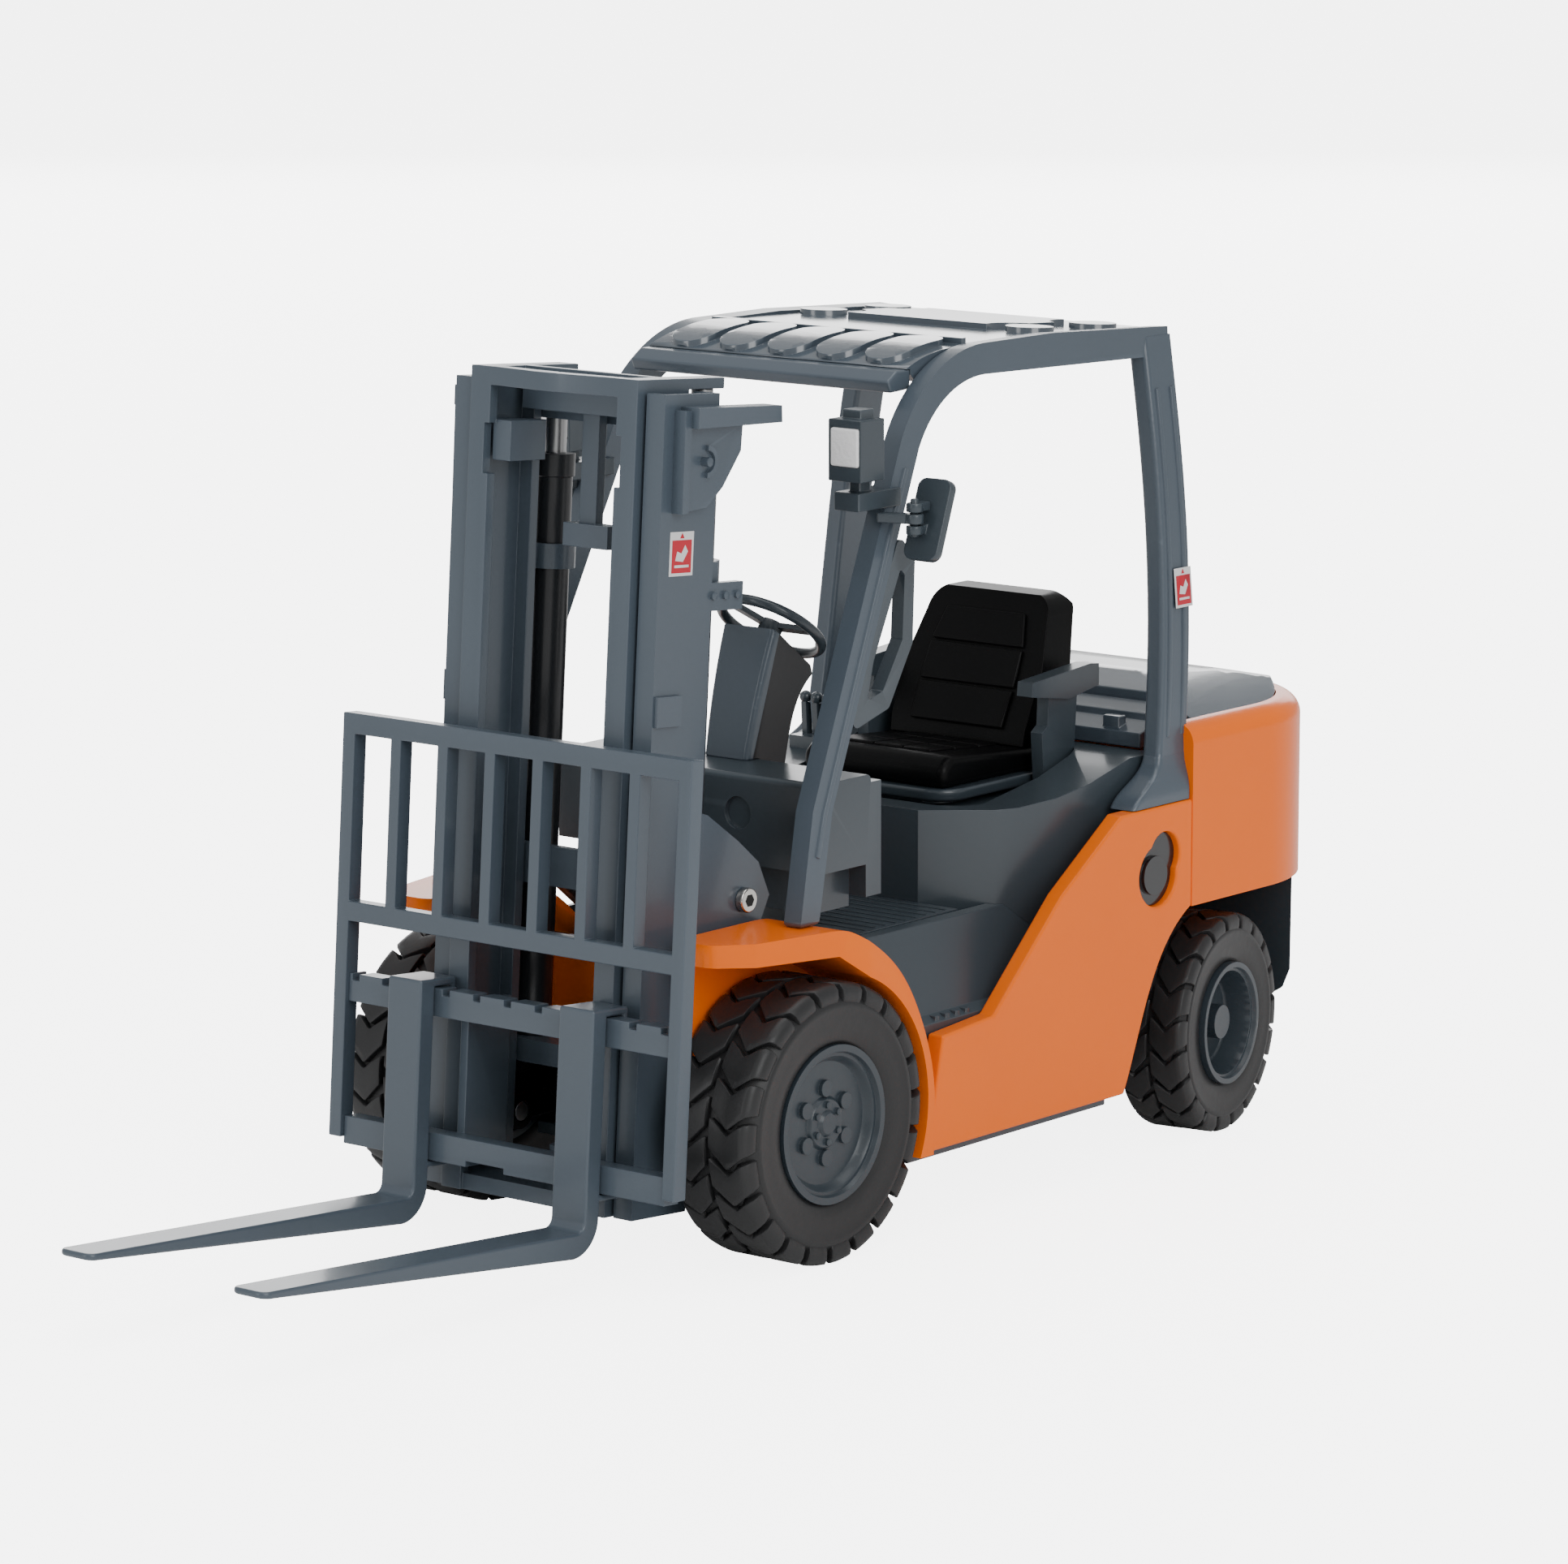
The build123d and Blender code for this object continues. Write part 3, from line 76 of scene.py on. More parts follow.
def paint(name, color, rough, metallic=0.0, coat=0.0, wear=0.35, grain=0.03, scale=900.0, shine=0.5):
    """Procedural paint or plastic: cloudy tone, uneven gloss, fine grain and worn edges."""
    material = bpy.data.materials.new(name)
    material.use_nodes = True
    nodes, links = material.node_tree.nodes, material.node_tree.links
    nodes.clear()
    out = nodes.new("ShaderNodeOutputMaterial")
    shader = nodes.new("ShaderNodeBsdfPrincipled")
    shader.inputs["Metallic"].default_value = metallic
    shader.inputs["Coat Weight"].default_value = coat
    shader.inputs["Specular IOR Level"].default_value = shine
    shader.inputs["Coat Roughness"].default_value = 0.12
    links.new(shader.outputs["BSDF"], out.inputs["Surface"])
    place = nodes.new("ShaderNodeTexCoord")
    clouds = nodes.new("ShaderNodeTexNoise")
    clouds.inputs["Scale"].default_value = CLOUD_SCALE
    clouds.inputs["Detail"].default_value = 5.0
    links.new(place.outputs["Object"], clouds.inputs["Vector"])
    tone = nodes.new("ShaderNodeMix")
    tone.data_type = "RGBA"
    tone.inputs["A"].default_value = (*[0.93 * c for c in color], 1)
    tone.inputs["B"].default_value = (*[min(1.0, 1.06 * c) for c in color], 1)
    links.new(clouds.outputs["Fac"], tone.inputs["Factor"])
    geometry = nodes.new("ShaderNodeNewGeometry")
    edge = nodes.new("ShaderNodeMapRange")
    edge.inputs["From Min"].default_value = 0.54
    edge.inputs["From Max"].default_value = 0.66
    edge.inputs["To Max"].default_value = wear
    links.new(geometry.outputs["Pointiness"], edge.inputs["Value"])
    worn = nodes.new("ShaderNodeMix")
    worn.data_type = "RGBA"
    worn.inputs["B"].default_value = (*[min(1.0, 1.5 * c + 0.02) for c in color], 1)
    links.new(edge.outputs["Result"], worn.inputs["Factor"])
    links.new(tone.outputs["Result"], worn.inputs["A"])
    links.new(worn.outputs["Result"], shader.inputs["Base Color"])
    gloss = nodes.new("ShaderNodeMapRange")
    gloss.inputs["To Min"].default_value = rough * 0.85
    gloss.inputs["To Max"].default_value = min(1.0, rough * 1.2)
    links.new(clouds.outputs["Fac"], gloss.inputs["Value"])
    links.new(gloss.outputs["Result"], shader.inputs["Roughness"])
    fine = nodes.new("ShaderNodeTexNoise")
    fine.inputs["Scale"].default_value = scale
    fine.inputs["Detail"].default_value = 3.0
    links.new(place.outputs["Object"], fine.inputs["Vector"])
    bump = nodes.new("ShaderNodeBump")
    bump.inputs["Strength"].default_value = grain
    bump.inputs["Distance"].default_value = 0.0002
    links.new(fine.outputs["Fac"], bump.inputs["Height"])
    links.new(bump.outputs["Normal"], shader.inputs["Normal"])
    return material


SLATE = paint("slate_metal", (0.066, 0.088, 0.112), 0.33, coat=0.25, grain=0.05)
ROOF = paint("slate_roof", (0.066, 0.088, 0.112), 0.2, coat=0.6, wear=0.2, grain=0.02, shine=0.8)
SLATE_PLASTIC = paint("slate_plastic", (0.040, 0.054, 0.066), 0.30, coat=0.2, grain=0.04)
ORANGE = paint("orange_gloss", (1.0, 0.165, 0.0), 0.24, coat=0.06, wear=0.1, grain=0.02, shine=0.18)
BLACK = paint("black_gloss", (0.003, 0.003, 0.0033), 0.26, wear=0.1, grain=0.05, shine=0.2)
SEAT = paint("seat_black", (0.0032, 0.0032, 0.0035), 0.36, wear=0.1, grain=0.08, shine=0.12)
BINNACLE = paint("binnacle_plastic", (0.020, 0.021, 0.023), 0.34, wear=0.2, grain=0.06, shine=0.35)
RUBBER = paint("tyre_rubber", (0.019, 0.0195, 0.0205), 0.42, wear=0.3, grain=0.16, shine=0.4)
RIM = paint("rim_plastic", (0.027, 0.038, 0.048), 0.34, coat=0.1, grain=0.05)
LINER = paint("liner_gloss", (0.010, 0.011, 0.013), 0.16, coat=0.4, wear=0.1, grain=0.02)
CHROME = paint("bright_steel", (0.62, 0.6, 0.57), 0.16, metallic=1.0, wear=0.1, grain=0.03)
STEEL = paint("turned_steel", (0.42, 0.42, 0.42), 0.3, metallic=1.0, grain=0.06)
SILVER = paint("silver_lens", (0.97, 0.97, 0.98), 0.40, metallic=0.0, wear=0.1, grain=0.5, scale=1600.0)
CYLINDER = paint("ram_black", (0.020, 0.022, 0.025), 0.28, grain=0.05)
MIRROR = paint("mirror_glass", (0.75, 0.77, 0.78), 0.06, metallic=1.0, wear=0.0, grain=0.0)
RED = paint("label_red", (0.55, 0.012, 0.03), 0.4, wear=0.0, grain=0.02)
WHITE = paint("label_white", (0.75, 0.75, 0.75), 0.4, wear=0.0, grain=0.02)

LOOK = {
    "frame_paint": SLATE,
    "slate_plastic": SLATE_PLASTIC,
    "orange_paint": ORANGE,
    "black_plastic": BLACK,
    "tyre_rubber": RUBBER,
    "rim_paint": RIM,
    "black_metal": BLACK,
    "steel": STEEL,
    "bright_steel": CHROME,
    "lens": SILVER,
}


# ------------------------------------------------------------------ mesh helpers
WELD = 3e-6  # points of a CAD mesh closer than this, in metres, are one point
FLAT = math.radians(0.6)  # faces that meet at less than this are one face
MOST_AREA, LEAST_VOLUME, MOST_VOLUME = 1.01, 0.85, 1.03  # what rounding may do to a sound shell


def add_object(name, mesh):
    """Puts a mesh into the scene under a name."""
    piece = bpy.data.objects.new(name, mesh)
    bpy.context.scene.collection.objects.link(piece)
    return piece


def from_faces(name, points, faces):
    """Object from points in millimetres."""
    mesh = bpy.data.meshes.new(name)
    mesh.from_pydata([(x * MM, y * MM, z * MM) for x, y, z in points], [], faces)
    mesh.validate()
    mesh.update()
    return add_object(name, mesh)


def rounded(piece, width, segments=2, angle=32.0, clamp=True):
    """Rounds the piece's edges for good and smooths its shading."""
    bevel = piece.modifiers.new("bevel", "BEVEL")
    bevel.width = width * MM
    bevel.segments = segments
    bevel.limit_method = "ANGLE"
    bevel.angle_limit = math.radians(angle)
    bevel.use_clamp_overlap = clamp
    even = piece.modifiers.new("even", "WEIGHTED_NORMAL")
    even.keep_sharp = True
    for face in piece.data.polygons:
        face.use_smooth = True
    graph = bpy.context.evaluated_depsgraph_get()
    mesh = bpy.data.meshes.new_from_object(piece.evaluated_get(graph))
    piece.modifiers.clear()
    piece.data = mesh
    for face in mesh.polygons:
        face.use_smooth = True
    mesh.set_sharp_from_angle(angle=math.radians(50))


def outward(piece):
    """Turns every face of a closed piece outwards."""
    work = bmesh.new()
    work.from_mesh(piece.data)
    bmesh.ops.recalc_face_normals(work, faces=work.faces)
    work.to_mesh(piece.data)
    work.free()


def measure(mesh):
    """Volume and surface of a mesh."""
    work = bmesh.new()
    work.from_mesh(mesh)
    volume, area = abs(work.calc_volume()), sum(face.calc_area() for face in work.faces)
    work.free()
    return volume, area


def finish_piece(piece, node, material, replaces=True):
    """Gives a piece its material and its node's body, and hides the node when the piece stands for it."""
    piece.data.materials.clear()
    piece.data.materials.append(material)
    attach(piece, BODY_OF[node])
    if replaces:
        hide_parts(node)


def shell(node, width=0.25, segments=2, material=None):
    """A copy of a CAD node with clean faces and rounded edges, shown in its place.
    The roundest variant that keeps the node's volume and surface is used."""
    source = frame["nodes"][node].data
    volume, area = measure(source)
    piece = None
    for merge, size in ((True, width), (True, 0.5 * width), (False, 0.5 * width), (False, 0.0)):
        if piece is not None:
            bpy.data.objects.remove(piece)
        mesh = source.copy()
        work = bmesh.new()
        work.from_mesh(mesh)
        bmesh.ops.remove_doubles(work, verts=work.verts, dist=WELD)
        if merge:
            bmesh.ops.dissolve_limit(work, angle_limit=FLAT, verts=work.verts, edges=work.edges)
        work.to_mesh(mesh)
        work.free()
        mesh.materials.clear()
        piece = add_object(f"{node}_shell", mesh)
        if size > 0:
            rounded(piece, size, segments, clamp=merge)
            new_volume, new_area = measure(piece.data)
            if new_area < MOST_AREA * area and LEAST_VOLUME * volume < new_volume < MOST_VOLUME * volume:
                break
        else:
            for face in mesh.polygons:
                face.use_smooth = True
            mesh.set_sharp_from_angle(angle=math.radians(30))
    finish_piece(piece, node, material or LOOK[SLOT_OF[node]])
    return piece


def prism(name, outline, depth, place, width, segments=3):
    """Rounded slab: outline in mm in the place's XY plane, depth along its Z."""
    count = len(outline)
    points = [place @ Vector((x, y, 0)) for x, y in outline]
    points += [place @ Vector((x, y, depth)) for x, y in outline]
    faces = [tuple(reversed(range(count))), tuple(range(count, 2 * count))]
    faces += [(i, (i + 1) % count, count + (i + 1) % count, count + i) for i in range(count)]
    piece = from_faces(name, points, faces)
    outward(piece)
    rounded(piece, width, segments)
    return piece


def ribbon(name, path, across, out, wide, tall):
    """Raised strip along a path, in mm: across is its width direction, out its height direction."""
    across, out = Vector(across).normalized(), Vector(out).normalized()
    points, faces = [], []
    for spot in path:
        spot = Vector(spot)
        for a, b in ((-0.5, -0.3), (0.5, -0.3), (0.3, 1.0), (-0.3, 1.0)):
            points.append(spot + across * (a * wide) + out * (b * tall))
    for k in range(len(path) - 1):
        for m in range(4):
            n = (m + 1) % 4
            faces.append((4 * k + m, 4 * k + n, 4 * k + 4 + n, 4 * k + 4 + m))
    last = 4 * (len(path) - 1)
    faces += [(3, 2, 1, 0), (last, last + 1, last + 2, last + 3)]
    piece = from_faces(name, points, faces)
    outward(piece)
    rounded(piece, 0.08, 2)
    return piece


def axes(origin, x_dir, y_dir):
    """Placement matrix from an origin in mm and two directions."""
    x_dir = Vector(x_dir).normalized()
    y_dir = Vector(y_dir)
    y_dir = (y_dir - y_dir.dot(x_dir) * x_dir).normalized()
    z_dir = x_dir.cross(y_dir)
    place = Matrix((x_dir, y_dir, z_dir)).transposed().to_4x4()
    place.translation = Vector(origin)
    return place


# ------------------------------------------------------------------ tyres
TYRE_STEPS = 132
ROOT_SPREAD = 0.05  # how much wider a tread block is at its root, as a share of the pitch


def tyre(name, centre, normal, radius, bead, inner, outer, lugs, depth):
    """Tyre body with raised V-shaped tread blocks on each half, running down on to the sidewalls."""
    normal = Vector(normal).normalized()
    forward = Vector((normal.y, -normal.x, 0))
    if forward.x < 0:
        forward.negate()
    upward = Vector((0, 0, 1))
    centre = Vector(centre)

    def point(across, r, turn):
        return centre + normal * across + (forward * math.cos(turn) + upward * math.sin(turn)) * r

    base = radius - depth
    middle = (inner + outer) / 2
    half = (outer - inner) / 2
    section = []
    for across, r in (
        (0.86, bead), (0.93, bead + 0.5), (0.955, bead + 1.6),
        (0.985, 0.72 * radius), (0.985, 0.80 * radius),
        (1.0, 0.815 * radius), (1.0, 0.845 * radius), (0.975, 0.86 * radius),
        (0.93, base - 1.2), (0.80, base - 0.25), (0.60, base), (0.0, base),
    ):
        section.append((across, r))
    profile = [(middle + s * half, r) for s, r in section]
    profile += [(middle - s * half, r) for s, r in reversed(section[:-1])]
    points, faces = [], []
    for i in range(TYRE_STEPS):
        turn = 2 * math.pi * i / TYRE_STEPS
        points += [point(across, r, turn) for across, r in profile]
    count = len(profile)
    for i in range(TYRE_STEPS):
        a, b = i * count, ((i + 1) % TYRE_STEPS) * count
        for k in range(count):
            n = (k + 1) % count
            faces.append((a + k, b + k, b + n, a + n))
    body = from_faces(f"{name}_carcass", points, faces)
    points, faces = [], []
    pitch = 2 * math.pi / lugs
    # each station: share of half width, radius of the top and of the root, turn of its middle, width
    stations = (
        (0.965, radius - 2.5, 0.86, radius - 2.6, 0.0, 0.74),
        (1.0, radius - 1.7, 0.84, radius - 2.6, 0.0, 0.77),
        (0.985, radius - 0.8, 0.80, base - 1.0, -0.02, 0.80),
        (0.91, radius - 0.18, 0.72, base - 0.6, -0.06, 0.82),
        (0.80, radius, 0.62, base - 0.4, -0.14, 0.84),
        (0.54, radius, 0.52, base - 0.4, -0.38, 0.85),
        (0.48, radius, 0.46, base - 0.4, -0.40, 0.85),
        (0.30, radius, 0.30, base - 0.4, -0.20, 0.82),
        (0.05, radius, 0.07, base - 0.4, 0.04, 0.72),
    )
    columns = (-0.5, -0.25, 0.0, 0.25, 0.5)
    for hand in (1, -1):
        for index in range(lugs):
            start = len(points)
            turn = pitch * (index + (0.25 if hand > 0 else 0.75))
            for top_share, top_r, root_share, root_r, shift, width in stations:
                top, root = middle + hand * half * top_share, middle + hand * half * root_share
                for column in columns:
                    points.append(point(top, top_r, turn + pitch * (shift + width * column)))
                for column in reversed(columns):
                    spread = shift + (width + ROOT_SPREAD) * column
                    points.append(point(root, root_r, turn + pitch * spread))
            ring = 2 * len(columns)
            for k in range(len(stations) - 1):
                for m in range(ring):
                    n = (m + 1) % ring
                    low, high = start + k * ring, start + (k + 1) * ring
                    quad = (low + m, low + n, high + n, high + m)
                    faces.append(quad if hand > 0 else tuple(reversed(quad)))
            first = tuple(start + m for m in range(ring))
            last = tuple(start + (len(stations) - 1) * ring + m for m in range(ring))
            faces.append(tuple(reversed(first)) if hand > 0 else first)
            faces.append(last if hand > 0 else tuple(reversed(last)))
    blocks = from_faces(f"{name}_blocks", points, faces)
    outward(blocks)
    rounded(blocks, 0.16, 1, 40.0)
    outward(body)
    for face in body.data.polygons:
        face.use_smooth = True
    body.data.set_sharp_from_angle(angle=math.radians(40))
    finish_piece(body, name, RUBBER)
    finish_piece(blocks, name, RUBBER, replaces=False)


FRONT_RADIUS = 17.0
REAR_RADIUS = 14.2
KINGPIN_X, KINGPIN_Y = -67.8, 13.8
TURN = math.radians(9)  # the rear wheels stand turned to the left
for hand, side in ((1, "left"), (-1, "right")):
    tyre(
        f"front_tyre_{side}", (15.5, 0, FRONT_RADIUS), (0, hand, 0),
        radius=FRONT_RADIUS, bead=9.6, inner=19.6, outer=31.6, lugs=22, depth=0.85,
    )
    steered = (-hand * math.sin(TURN), hand * math.cos(TURN), 0)
    tyre(
        f"rear_tyre_{side}", (KINGPIN_X, hand * KINGPIN_Y, REAR_RADIUS), steered,
        radius=REAR_RADIUS, bead=7.9, inner=5.0, outer=14.5, lugs=20, depth=0.8,
    )

# ------------------------------------------------------------------ CAD nodes shown with rounded edges
OWN = {"front_tyre_left", "front_tyre_right", "rear_tyre_left", "rear_tyre_right"}
EDGE = 0.2  # rounding in mm of a node that is not in WIDTHS
WIDTHS = {
    "counterweight": 0.7, "rear_hood": 0.7, "fender_left": 0.35, "fender_right": 0.35,
    "side_panel_left": 0.35, "side_panel_right": 0.35, "engine_cover": 1.0, "seat_back": 1.5,
    "seat_cushion": 1.1, "seat_pan": 0.4, "backrest": 0.16, "fork_carriage": 0.2, "fork_left": 0.35,
    "fork_right": 0.35, "outer_mast": 0.16, "inner_mast": 0.16, "roof_panel": 0.22, "armrests": 0.35,
    "cowl": 0.3, "steering_column": 0.4, "lamp_lenses": 0.3, "work_lamps": 0.7, "mirror_left": 0.45,
    "mirror_right": 0.45, "steering_wheel": 0.08, "guard_header": 0.3, "floor_mat": 0.1,
    "guard_side_left": 0.3, "guard_side_right": 0.3, "mirror_arms": 0.15, "rail_brackets": 0.18,
    "front_axle": 0.2,
}
SEGMENTS = {
    "seat_back": 5, "seat_cushion": 5, "counterweight": 4, "fork_left": 3, "fork_right": 3, "work_lamps": 3,
}
MATERIAL = {
    "tilt_pins": CHROME, "lift_cylinders": CYLINDER, "tilt_barrels": CYLINDER, "roof_panel": ROOF,
    "rear_hood": ROOF, "fuel_filler": LINER, "steering_column": SLATE, "seat_back": SEAT,
    "seat_cushion": SEAT,
}
SHELLS = {}
for node in sorted(frame["nodes"]):
    if node not in OWN:
        SHELLS[node] = shell(node, WIDTHS.get(node, EDGE), SEGMENTS.get(node, 2), MATERIAL.get(node))


def two_tone(piece, point, normal, material):
    """Gives the side of the piece behind a plane (point in mm) a second material."""
    point, normal = Vector(point) * MM, Vector(normal).normalized()
    work = bmesh.new()
    work.from_mesh(piece.data)
    everything = work.verts[:] + work.edges[:] + work.faces[:]
    bmesh.ops.bisect_plane(work, geom=everything, plane_co=point, plane_no=normal)
    work.to_mesh(piece.data)
    work.free()
    piece.data.materials.append(material)
    for face in piece.data.polygons:
        if (face.center - point).dot(normal) < 0:
            face.material_index = 1


two_tone(SHELLS["steering_column"], (-3.3, 0, 54.6), (16.2, 0, 4.7), BINNACLE)

# ------------------------------------------------------------------ seat panels with seams
slope = Vector((-7.4, 0, 16.0)).normalized()
back_face = axes((-49.0, 0, 53.4), (0, 1, 0), slope)
for low, high, wide_low, wide_high in ((-0.4, 4.7, 7.3, 7.5), (5.0, 10.1, 7.5, 7.3), (10.4, 14.9, 7.3, 6.2)):
    outline = [(-wide_low, low), (wide_low, low), (wide_high, high), (-wide_high, high)]
    panel = prism(f"seat_back_panel_{int(low + 1)}", outline, 0.55, back_face, 0.3)
    finish_piece(panel, "seat_back", SEAT, replaces=False)
cushion_face = axes((-41.0, 0, 51.45), (-16.4, 0, -1.2), (0, -1, 0))
for column, (low, high) in enumerate(((-6.8, -2.5), (-2.2, 2.2), (2.5, 6.8))):
    for row, (near, far) in enumerate(((-6.6, -1.8), (-1.5, 3.2), (3.5, 7.4))):
        outline = [(near, low), (far, low), (far, high), (near, high)]
        panel = prism(f"seat_cushion_panel_{row}_{column}", outline, 0.5, cushion_face, 0.25)
        finish_piece(panel, "seat_cushion", SEAT, replaces=False)

# ------------------------------------------------------------------ generic labels
LEAN = math.radians(4.06)
MAST_X, MAST_Z = 16.375, -0.678
mast_x, mast_z = (math.cos(LEAN), 0, math.sin(LEAN)), (-math.sin(LEAN), 0, math.cos(LEAN))


def mast_point(u, v, w):
    """Truck coordinates in mm of a point given in the leaning mast's own axes."""
    return (
        MAST_X + u * math.cos(LEAN) - w * math.sin(LEAN),
        v,
        MAST_Z + u * math.sin(LEAN) + w * math.cos(LEAN),
    )


def label(name, place, wide, tall, node):
    """White plate with a red field and a plain white sign in it; no words."""
    w, t = wide / 2, tall / 2
    plate = prism(f"{name}_plate", [(-w, -t), (w, -t), (w, t), (-w, t)], 0.08, place, 0.03, 1)
    finish_piece(plate, node, WHITE, replaces=False)
    lift = place @ Matrix.Translation((0, 0, 0.08))
    low, high = -0.86 * t, 0.62 * t
    red = [(-0.82 * w, low), (0.82 * w, low), (0.82 * w, high), (-0.82 * w, high)]
    field = prism(f"{name}_field", red, 0.04, lift, 0.02, 1)
    finish_piece(field, node, RED, replaces=False)
    lift = place @ Matrix.Translation((0, 0, 0.12))
    signs = (
        ("bar", [(-0.6, -0.62), (0.6, -0.62), (0.6, -0.5), (-0.6, -0.5)]),
        ("sign", [(-0.55, -0.3), (0.1, -0.36), (0.5, 0.1), (0.25, 0.4), (-0.05, 0.02), (-0.4, 0.12)]),
    )
    for part, outline in signs:
        mark = prism(f"{name}_{part}", [(x * w, y * t) for x, y in outline], 0.03, lift, 0.01, 1)
        finish_piece(mark, node, WHITE, replaces=False)
    top = [(-0.18 * w, 0.7 * t), (0.18 * w, 0.7 * t), (0.0, 0.95 * t)]
    lift = place @ Matrix.Translation((0, 0, 0.08))
    mark = prism(f"{name}_arrow", top, 0.04, lift, 0.01, 1)
    finish_piece(mark, node, RED, replaces=False)


label("mast_label", axes(mast_point(14.9, 16.2, 84.6), [-c for c in mast_x], mast_z), 4.3, 5.2, "outer_mast")
label("pillar_label", axes((-59.3, 27.68, 72.0), (-1, 0, 0), (0, -0.085, 1)), 3.6, 5.0, "guard_side_left")

# ------------------------------------------------------------------ ridges along the guard's pillars
ROOF_HALF, ROOF_Z = 22.9, 105.6  # outer face of the guard's side frame at the roof
LEAN_OUT = math.radians(3.5)
REAR_RIDGE = (
    (-56.9, 28.30, 53.5), (-57.5, 28.10, 60), (-58.1, 27.75, 67), (-58.6, 27.22, 74),
    (-58.95, 26.4, 82), (-59.2, 25.42, 90), (-59.5, 24.35, 97),
)
for hand, side in ((1, "left"), (-1, "right")):
    node = f"guard_side_{side}"
    for index, shift in enumerate((-1.5, 1.5)):
        path = [(x + shift, hand * y, z) for x, y, z in REAR_RIDGE]
        strip = ribbon(f"{node}_rear_ridge_{index}", path, (1, 0, 0), (0, hand, 0), 0.9, 0.22)
        finish_piece(strip, node, SLATE, replaces=False)
    path = []
    for x, z in ((12.6, 48.0), (10.9, 53.0), (1.6, 72.6), (-7.6, 92.0)):
        drop = (z - ROOF_Z) / math.cos(LEAN_OUT)
        path.append((x, hand * (ROOF_HALF - drop * math.sin(LEAN_OUT)), z))
    strip = ribbon(f"{node}_front_ridge", path, (1, 0, 0.45), (0, hand, 0), 1.0, 0.25)
    finish_piece(strip, node, SLATE, replaces=False)

# ------------------------------------------------------------------ mirror glass
MIRROR_FRONT = 1.2  # from the middle of the mirror head to its reflecting face
tilt = math.radians(20)
outline = [(-1.9, -4.2), (1.9, -4.2), (1.9, 4.2), (-1.9, 4.2)]
for hand, side in ((1, "left"), (-1, "right")):
    face = (-5.5 - MIRROR_FRONT * math.cos(tilt), hand * 28.6, 86.6 - MIRROR_FRONT * math.sin(tilt))
    place = axes(face, (0, -1, 0), (-math.sin(tilt), 0, math.cos(tilt)))
    glass = prism(f"mirror_{side}_glass", outline, 0.06, place, 0.03, 1)
    finish_piece(glass, f"mirror_{side}", MIRROR, replaces=False)

# ------------------------------------------------------------------ hexagon sockets of the tilt pins, drawn as black discs of painted shade
SOCKET_R = 0.8
low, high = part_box("tilt_pins")
for hand, side in ((1, "left"), (-1, "right")):
    head = Vector(((low[0] + high[0]) / 2, hand * high[1], (low[2] + high[2]) / 2)) / MM
    corners = [math.radians(60 * k) for k in range(6)]
    outline = [(SOCKET_R * math.cos(a), SOCKET_R * math.sin(a)) for a in corners]
    place = axes(head, (-hand, 0, 0), (0, 0, 1))
    # a thin black hexagon on the pin head: painted shade standing for the dark inside of the hollow socket
    socket_shade = prism(f"tilt_pin_{side}_socket", outline, 0.03, place, 0.01, 1)
    finish_piece(socket_shade, "tilt_pins", BLACK, replaces=False)

# ------------------------------------------------------------------ floor, light, camera
FLOOR_GLOW = 5.0  # seen by the camera only
SKY_SEEN, SKY_LIGHT = 9.0, 0.55  # brightness of the backdrop as seen and as a light
floor_material = bpy.data.materials.new("floor")
floor_material.use_nodes = True
tree = floor_material.node_tree
floor_shader = tree.nodes["Principled BSDF"]
floor_shader.inputs["Base Color"].default_value = (0.95, 0.95, 0.95, 1)
floor_shader.inputs["Roughness"].default_value = 0.7
floor_shader.inputs["Emission Color"].default_value = (1, 1, 1, 1)
ray = tree.nodes.new("ShaderNodeLightPath")
glow = tree.nodes.new("ShaderNodeMath")
glow.operation = "MULTIPLY"
glow.inputs[1].default_value = FLOOR_GLOW
tree.links.new(ray.outputs["Is Camera Ray"], glow.inputs[0])
tree.links.new(glow.outputs["Value"], floor_shader.inputs["Emission Strength"])
bpy.ops.mesh.primitive_plane_add(size=12, location=(0, 0, 0))
ground = bpy.context.object
ground.name = "ground"
ground.data.materials.append(floor_material)
ground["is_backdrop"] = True

world = bpy.data.worlds.new("studio")
bpy.context.scene.world = world
world.use_nodes = True
sky = world.node_tree.nodes["Background"]
sky.inputs["Color"].default_value = (1, 1, 1, 1)
ray = world.node_tree.nodes.new("ShaderNodeLightPath")
dim = world.node_tree.nodes.new("ShaderNodeMapRange")
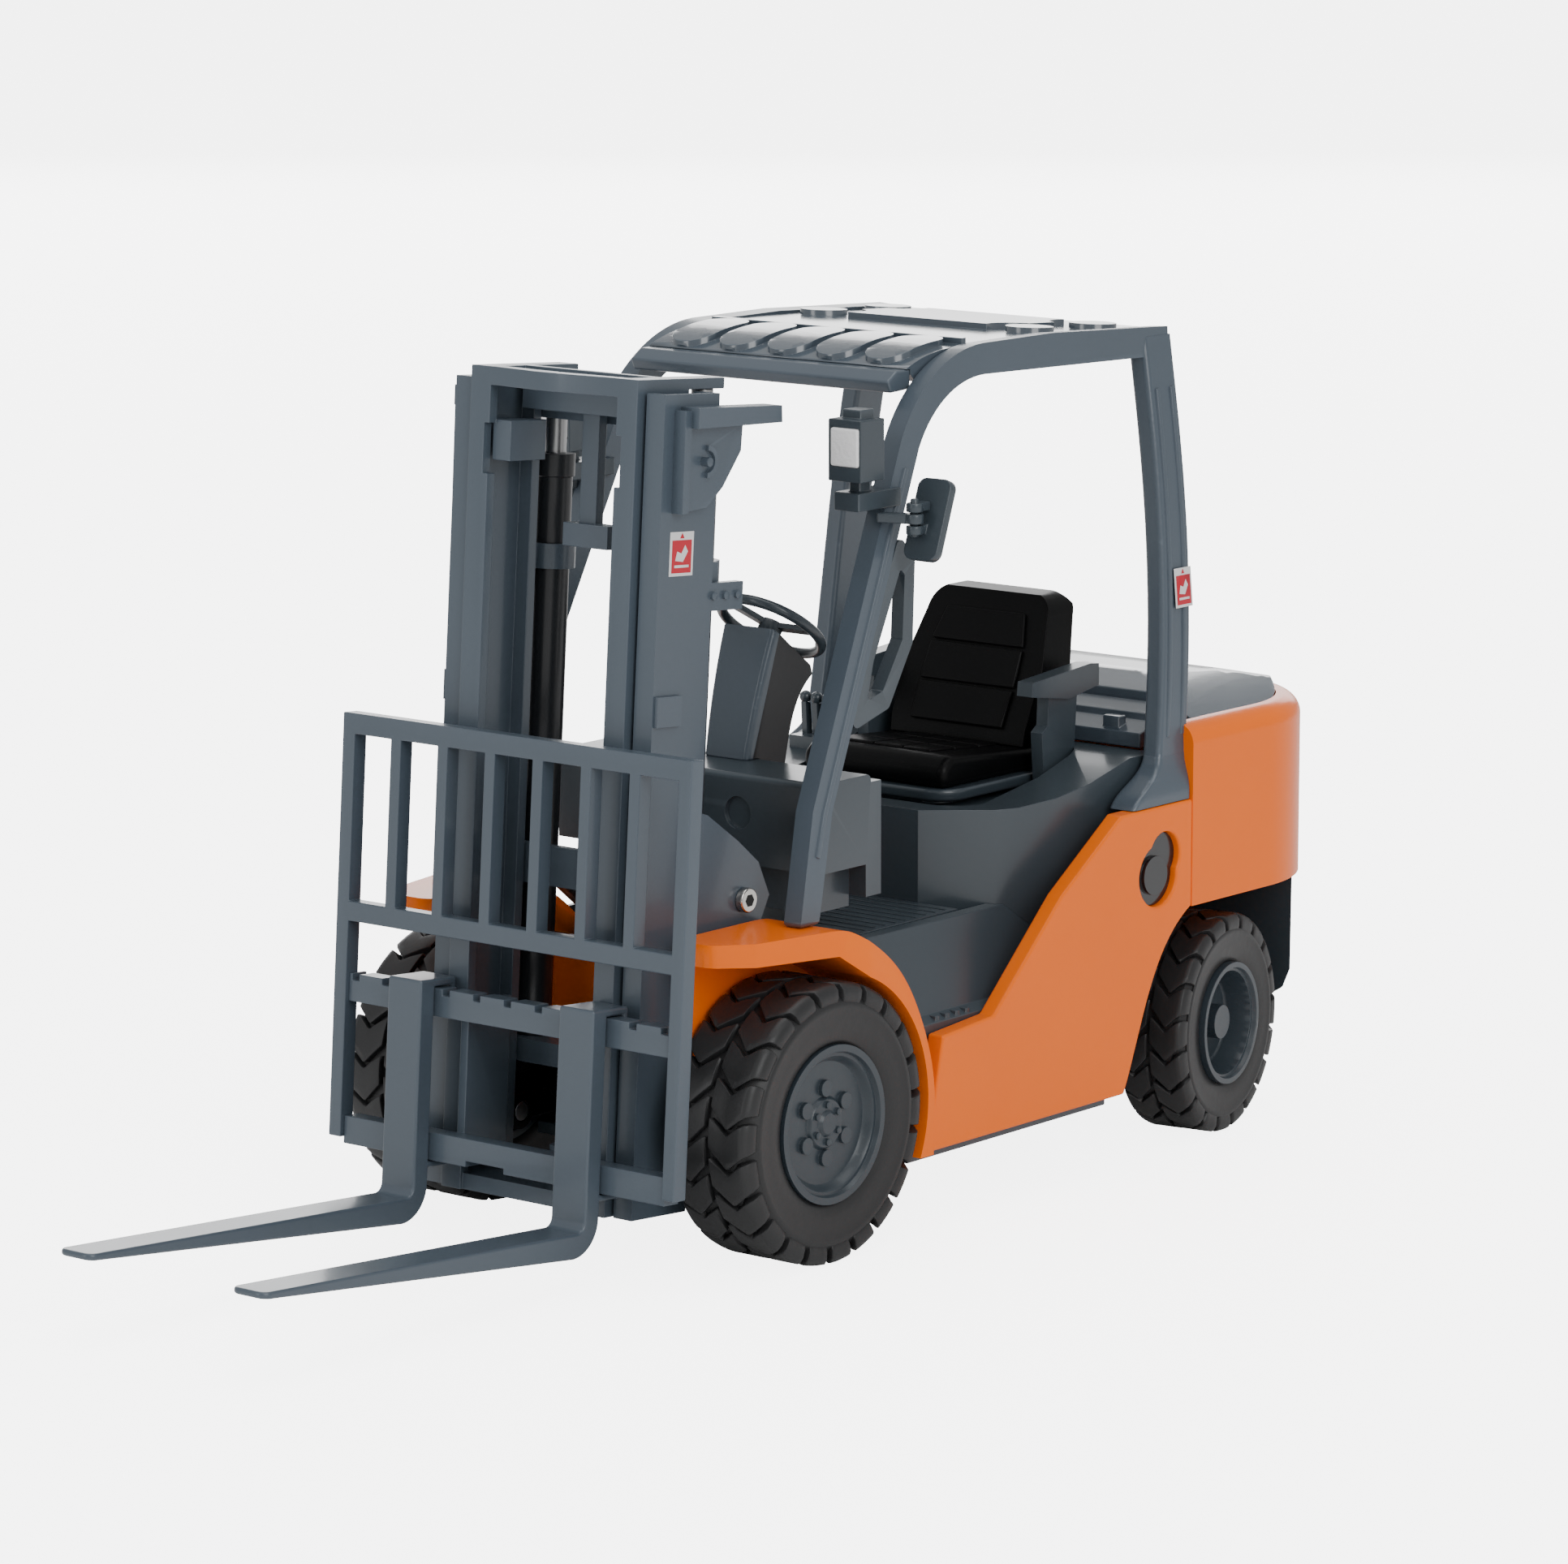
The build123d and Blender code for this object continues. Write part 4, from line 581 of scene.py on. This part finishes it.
dim.inputs["To Min"].default_value = SKY_LIGHT
dim.inputs["To Max"].default_value = SKY_SEEN
world.node_tree.links.new(ray.outputs["Is Camera Ray"], dim.inputs["Value"])
world.node_tree.links.new(dim.outputs["Result"], sky.inputs["Strength"])


def softbox(name, where, size, power):
    """Area light that faces the truck."""
    lamp = bpy.data.lights.new(name, "AREA")
    lamp.shape = "RECTANGLE"
    lamp.size, lamp.size_y = size
    lamp.energy = power
    light = bpy.data.objects.new(name, lamp)
    bpy.context.scene.collection.objects.link(light)
    light.location = where
    light.visible_camera = False
    light.rotation_euler = (Vector((0, 0, 0.05)) - Vector(where)).to_track_quat("-Z", "Y").to_euler()
    return light


softbox("key", (0.45, 1.05, 0.65), (0.7, 0.8), 6.5)
softbox("left", (1.05, -0.35, 0.45), (0.4, 0.8), 2.5)
softbox("top", (-0.1, 0.0, 1.1), (1.0, 0.8), 5.0)
softbox("behind", (-1.15, -0.93, 0.38), (1.3, 0.5), 7.0)

azimuth, elevation, roll = math.radians(39.008), math.radians(10.28), math.radians(-0.045)
level = math.cos(elevation)
back = Vector((math.cos(azimuth) * level, math.sin(azimuth) * level, math.sin(elevation)))
right = Vector((-math.sin(azimuth), math.cos(azimuth), 0))
up = back.cross(right)
right_rolled = math.cos(roll) * right + math.sin(roll) * up
up_rolled = math.cos(roll) * up - math.sin(roll) * right
camera_data = bpy.data.cameras.new("camera")
camera_data.lens = 148.13
camera_data.sensor_fit = "HORIZONTAL"
camera_data.sensor_width = 36
camera_data.clip_start = 0.01
camera_data.clip_end = 30
camera = bpy.data.objects.new("camera", camera_data)
bpy.context.scene.collection.objects.link(camera)
placement = Matrix((right_rolled, up_rolled, back)).transposed().to_4x4()
placement.translation = Vector((595.77, 493.73, 192.68)) * MM
camera.matrix_world = placement
bpy.context.scene.camera = camera

size_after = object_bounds()


def plain(value):
    """Bounds as plain nested lists."""
    if hasattr(value, "__len__") and not isinstance(value, str):
        return [plain(item) for item in value]
    return float(value)


{"before": plain(size_before), "after": plain(size_after)}
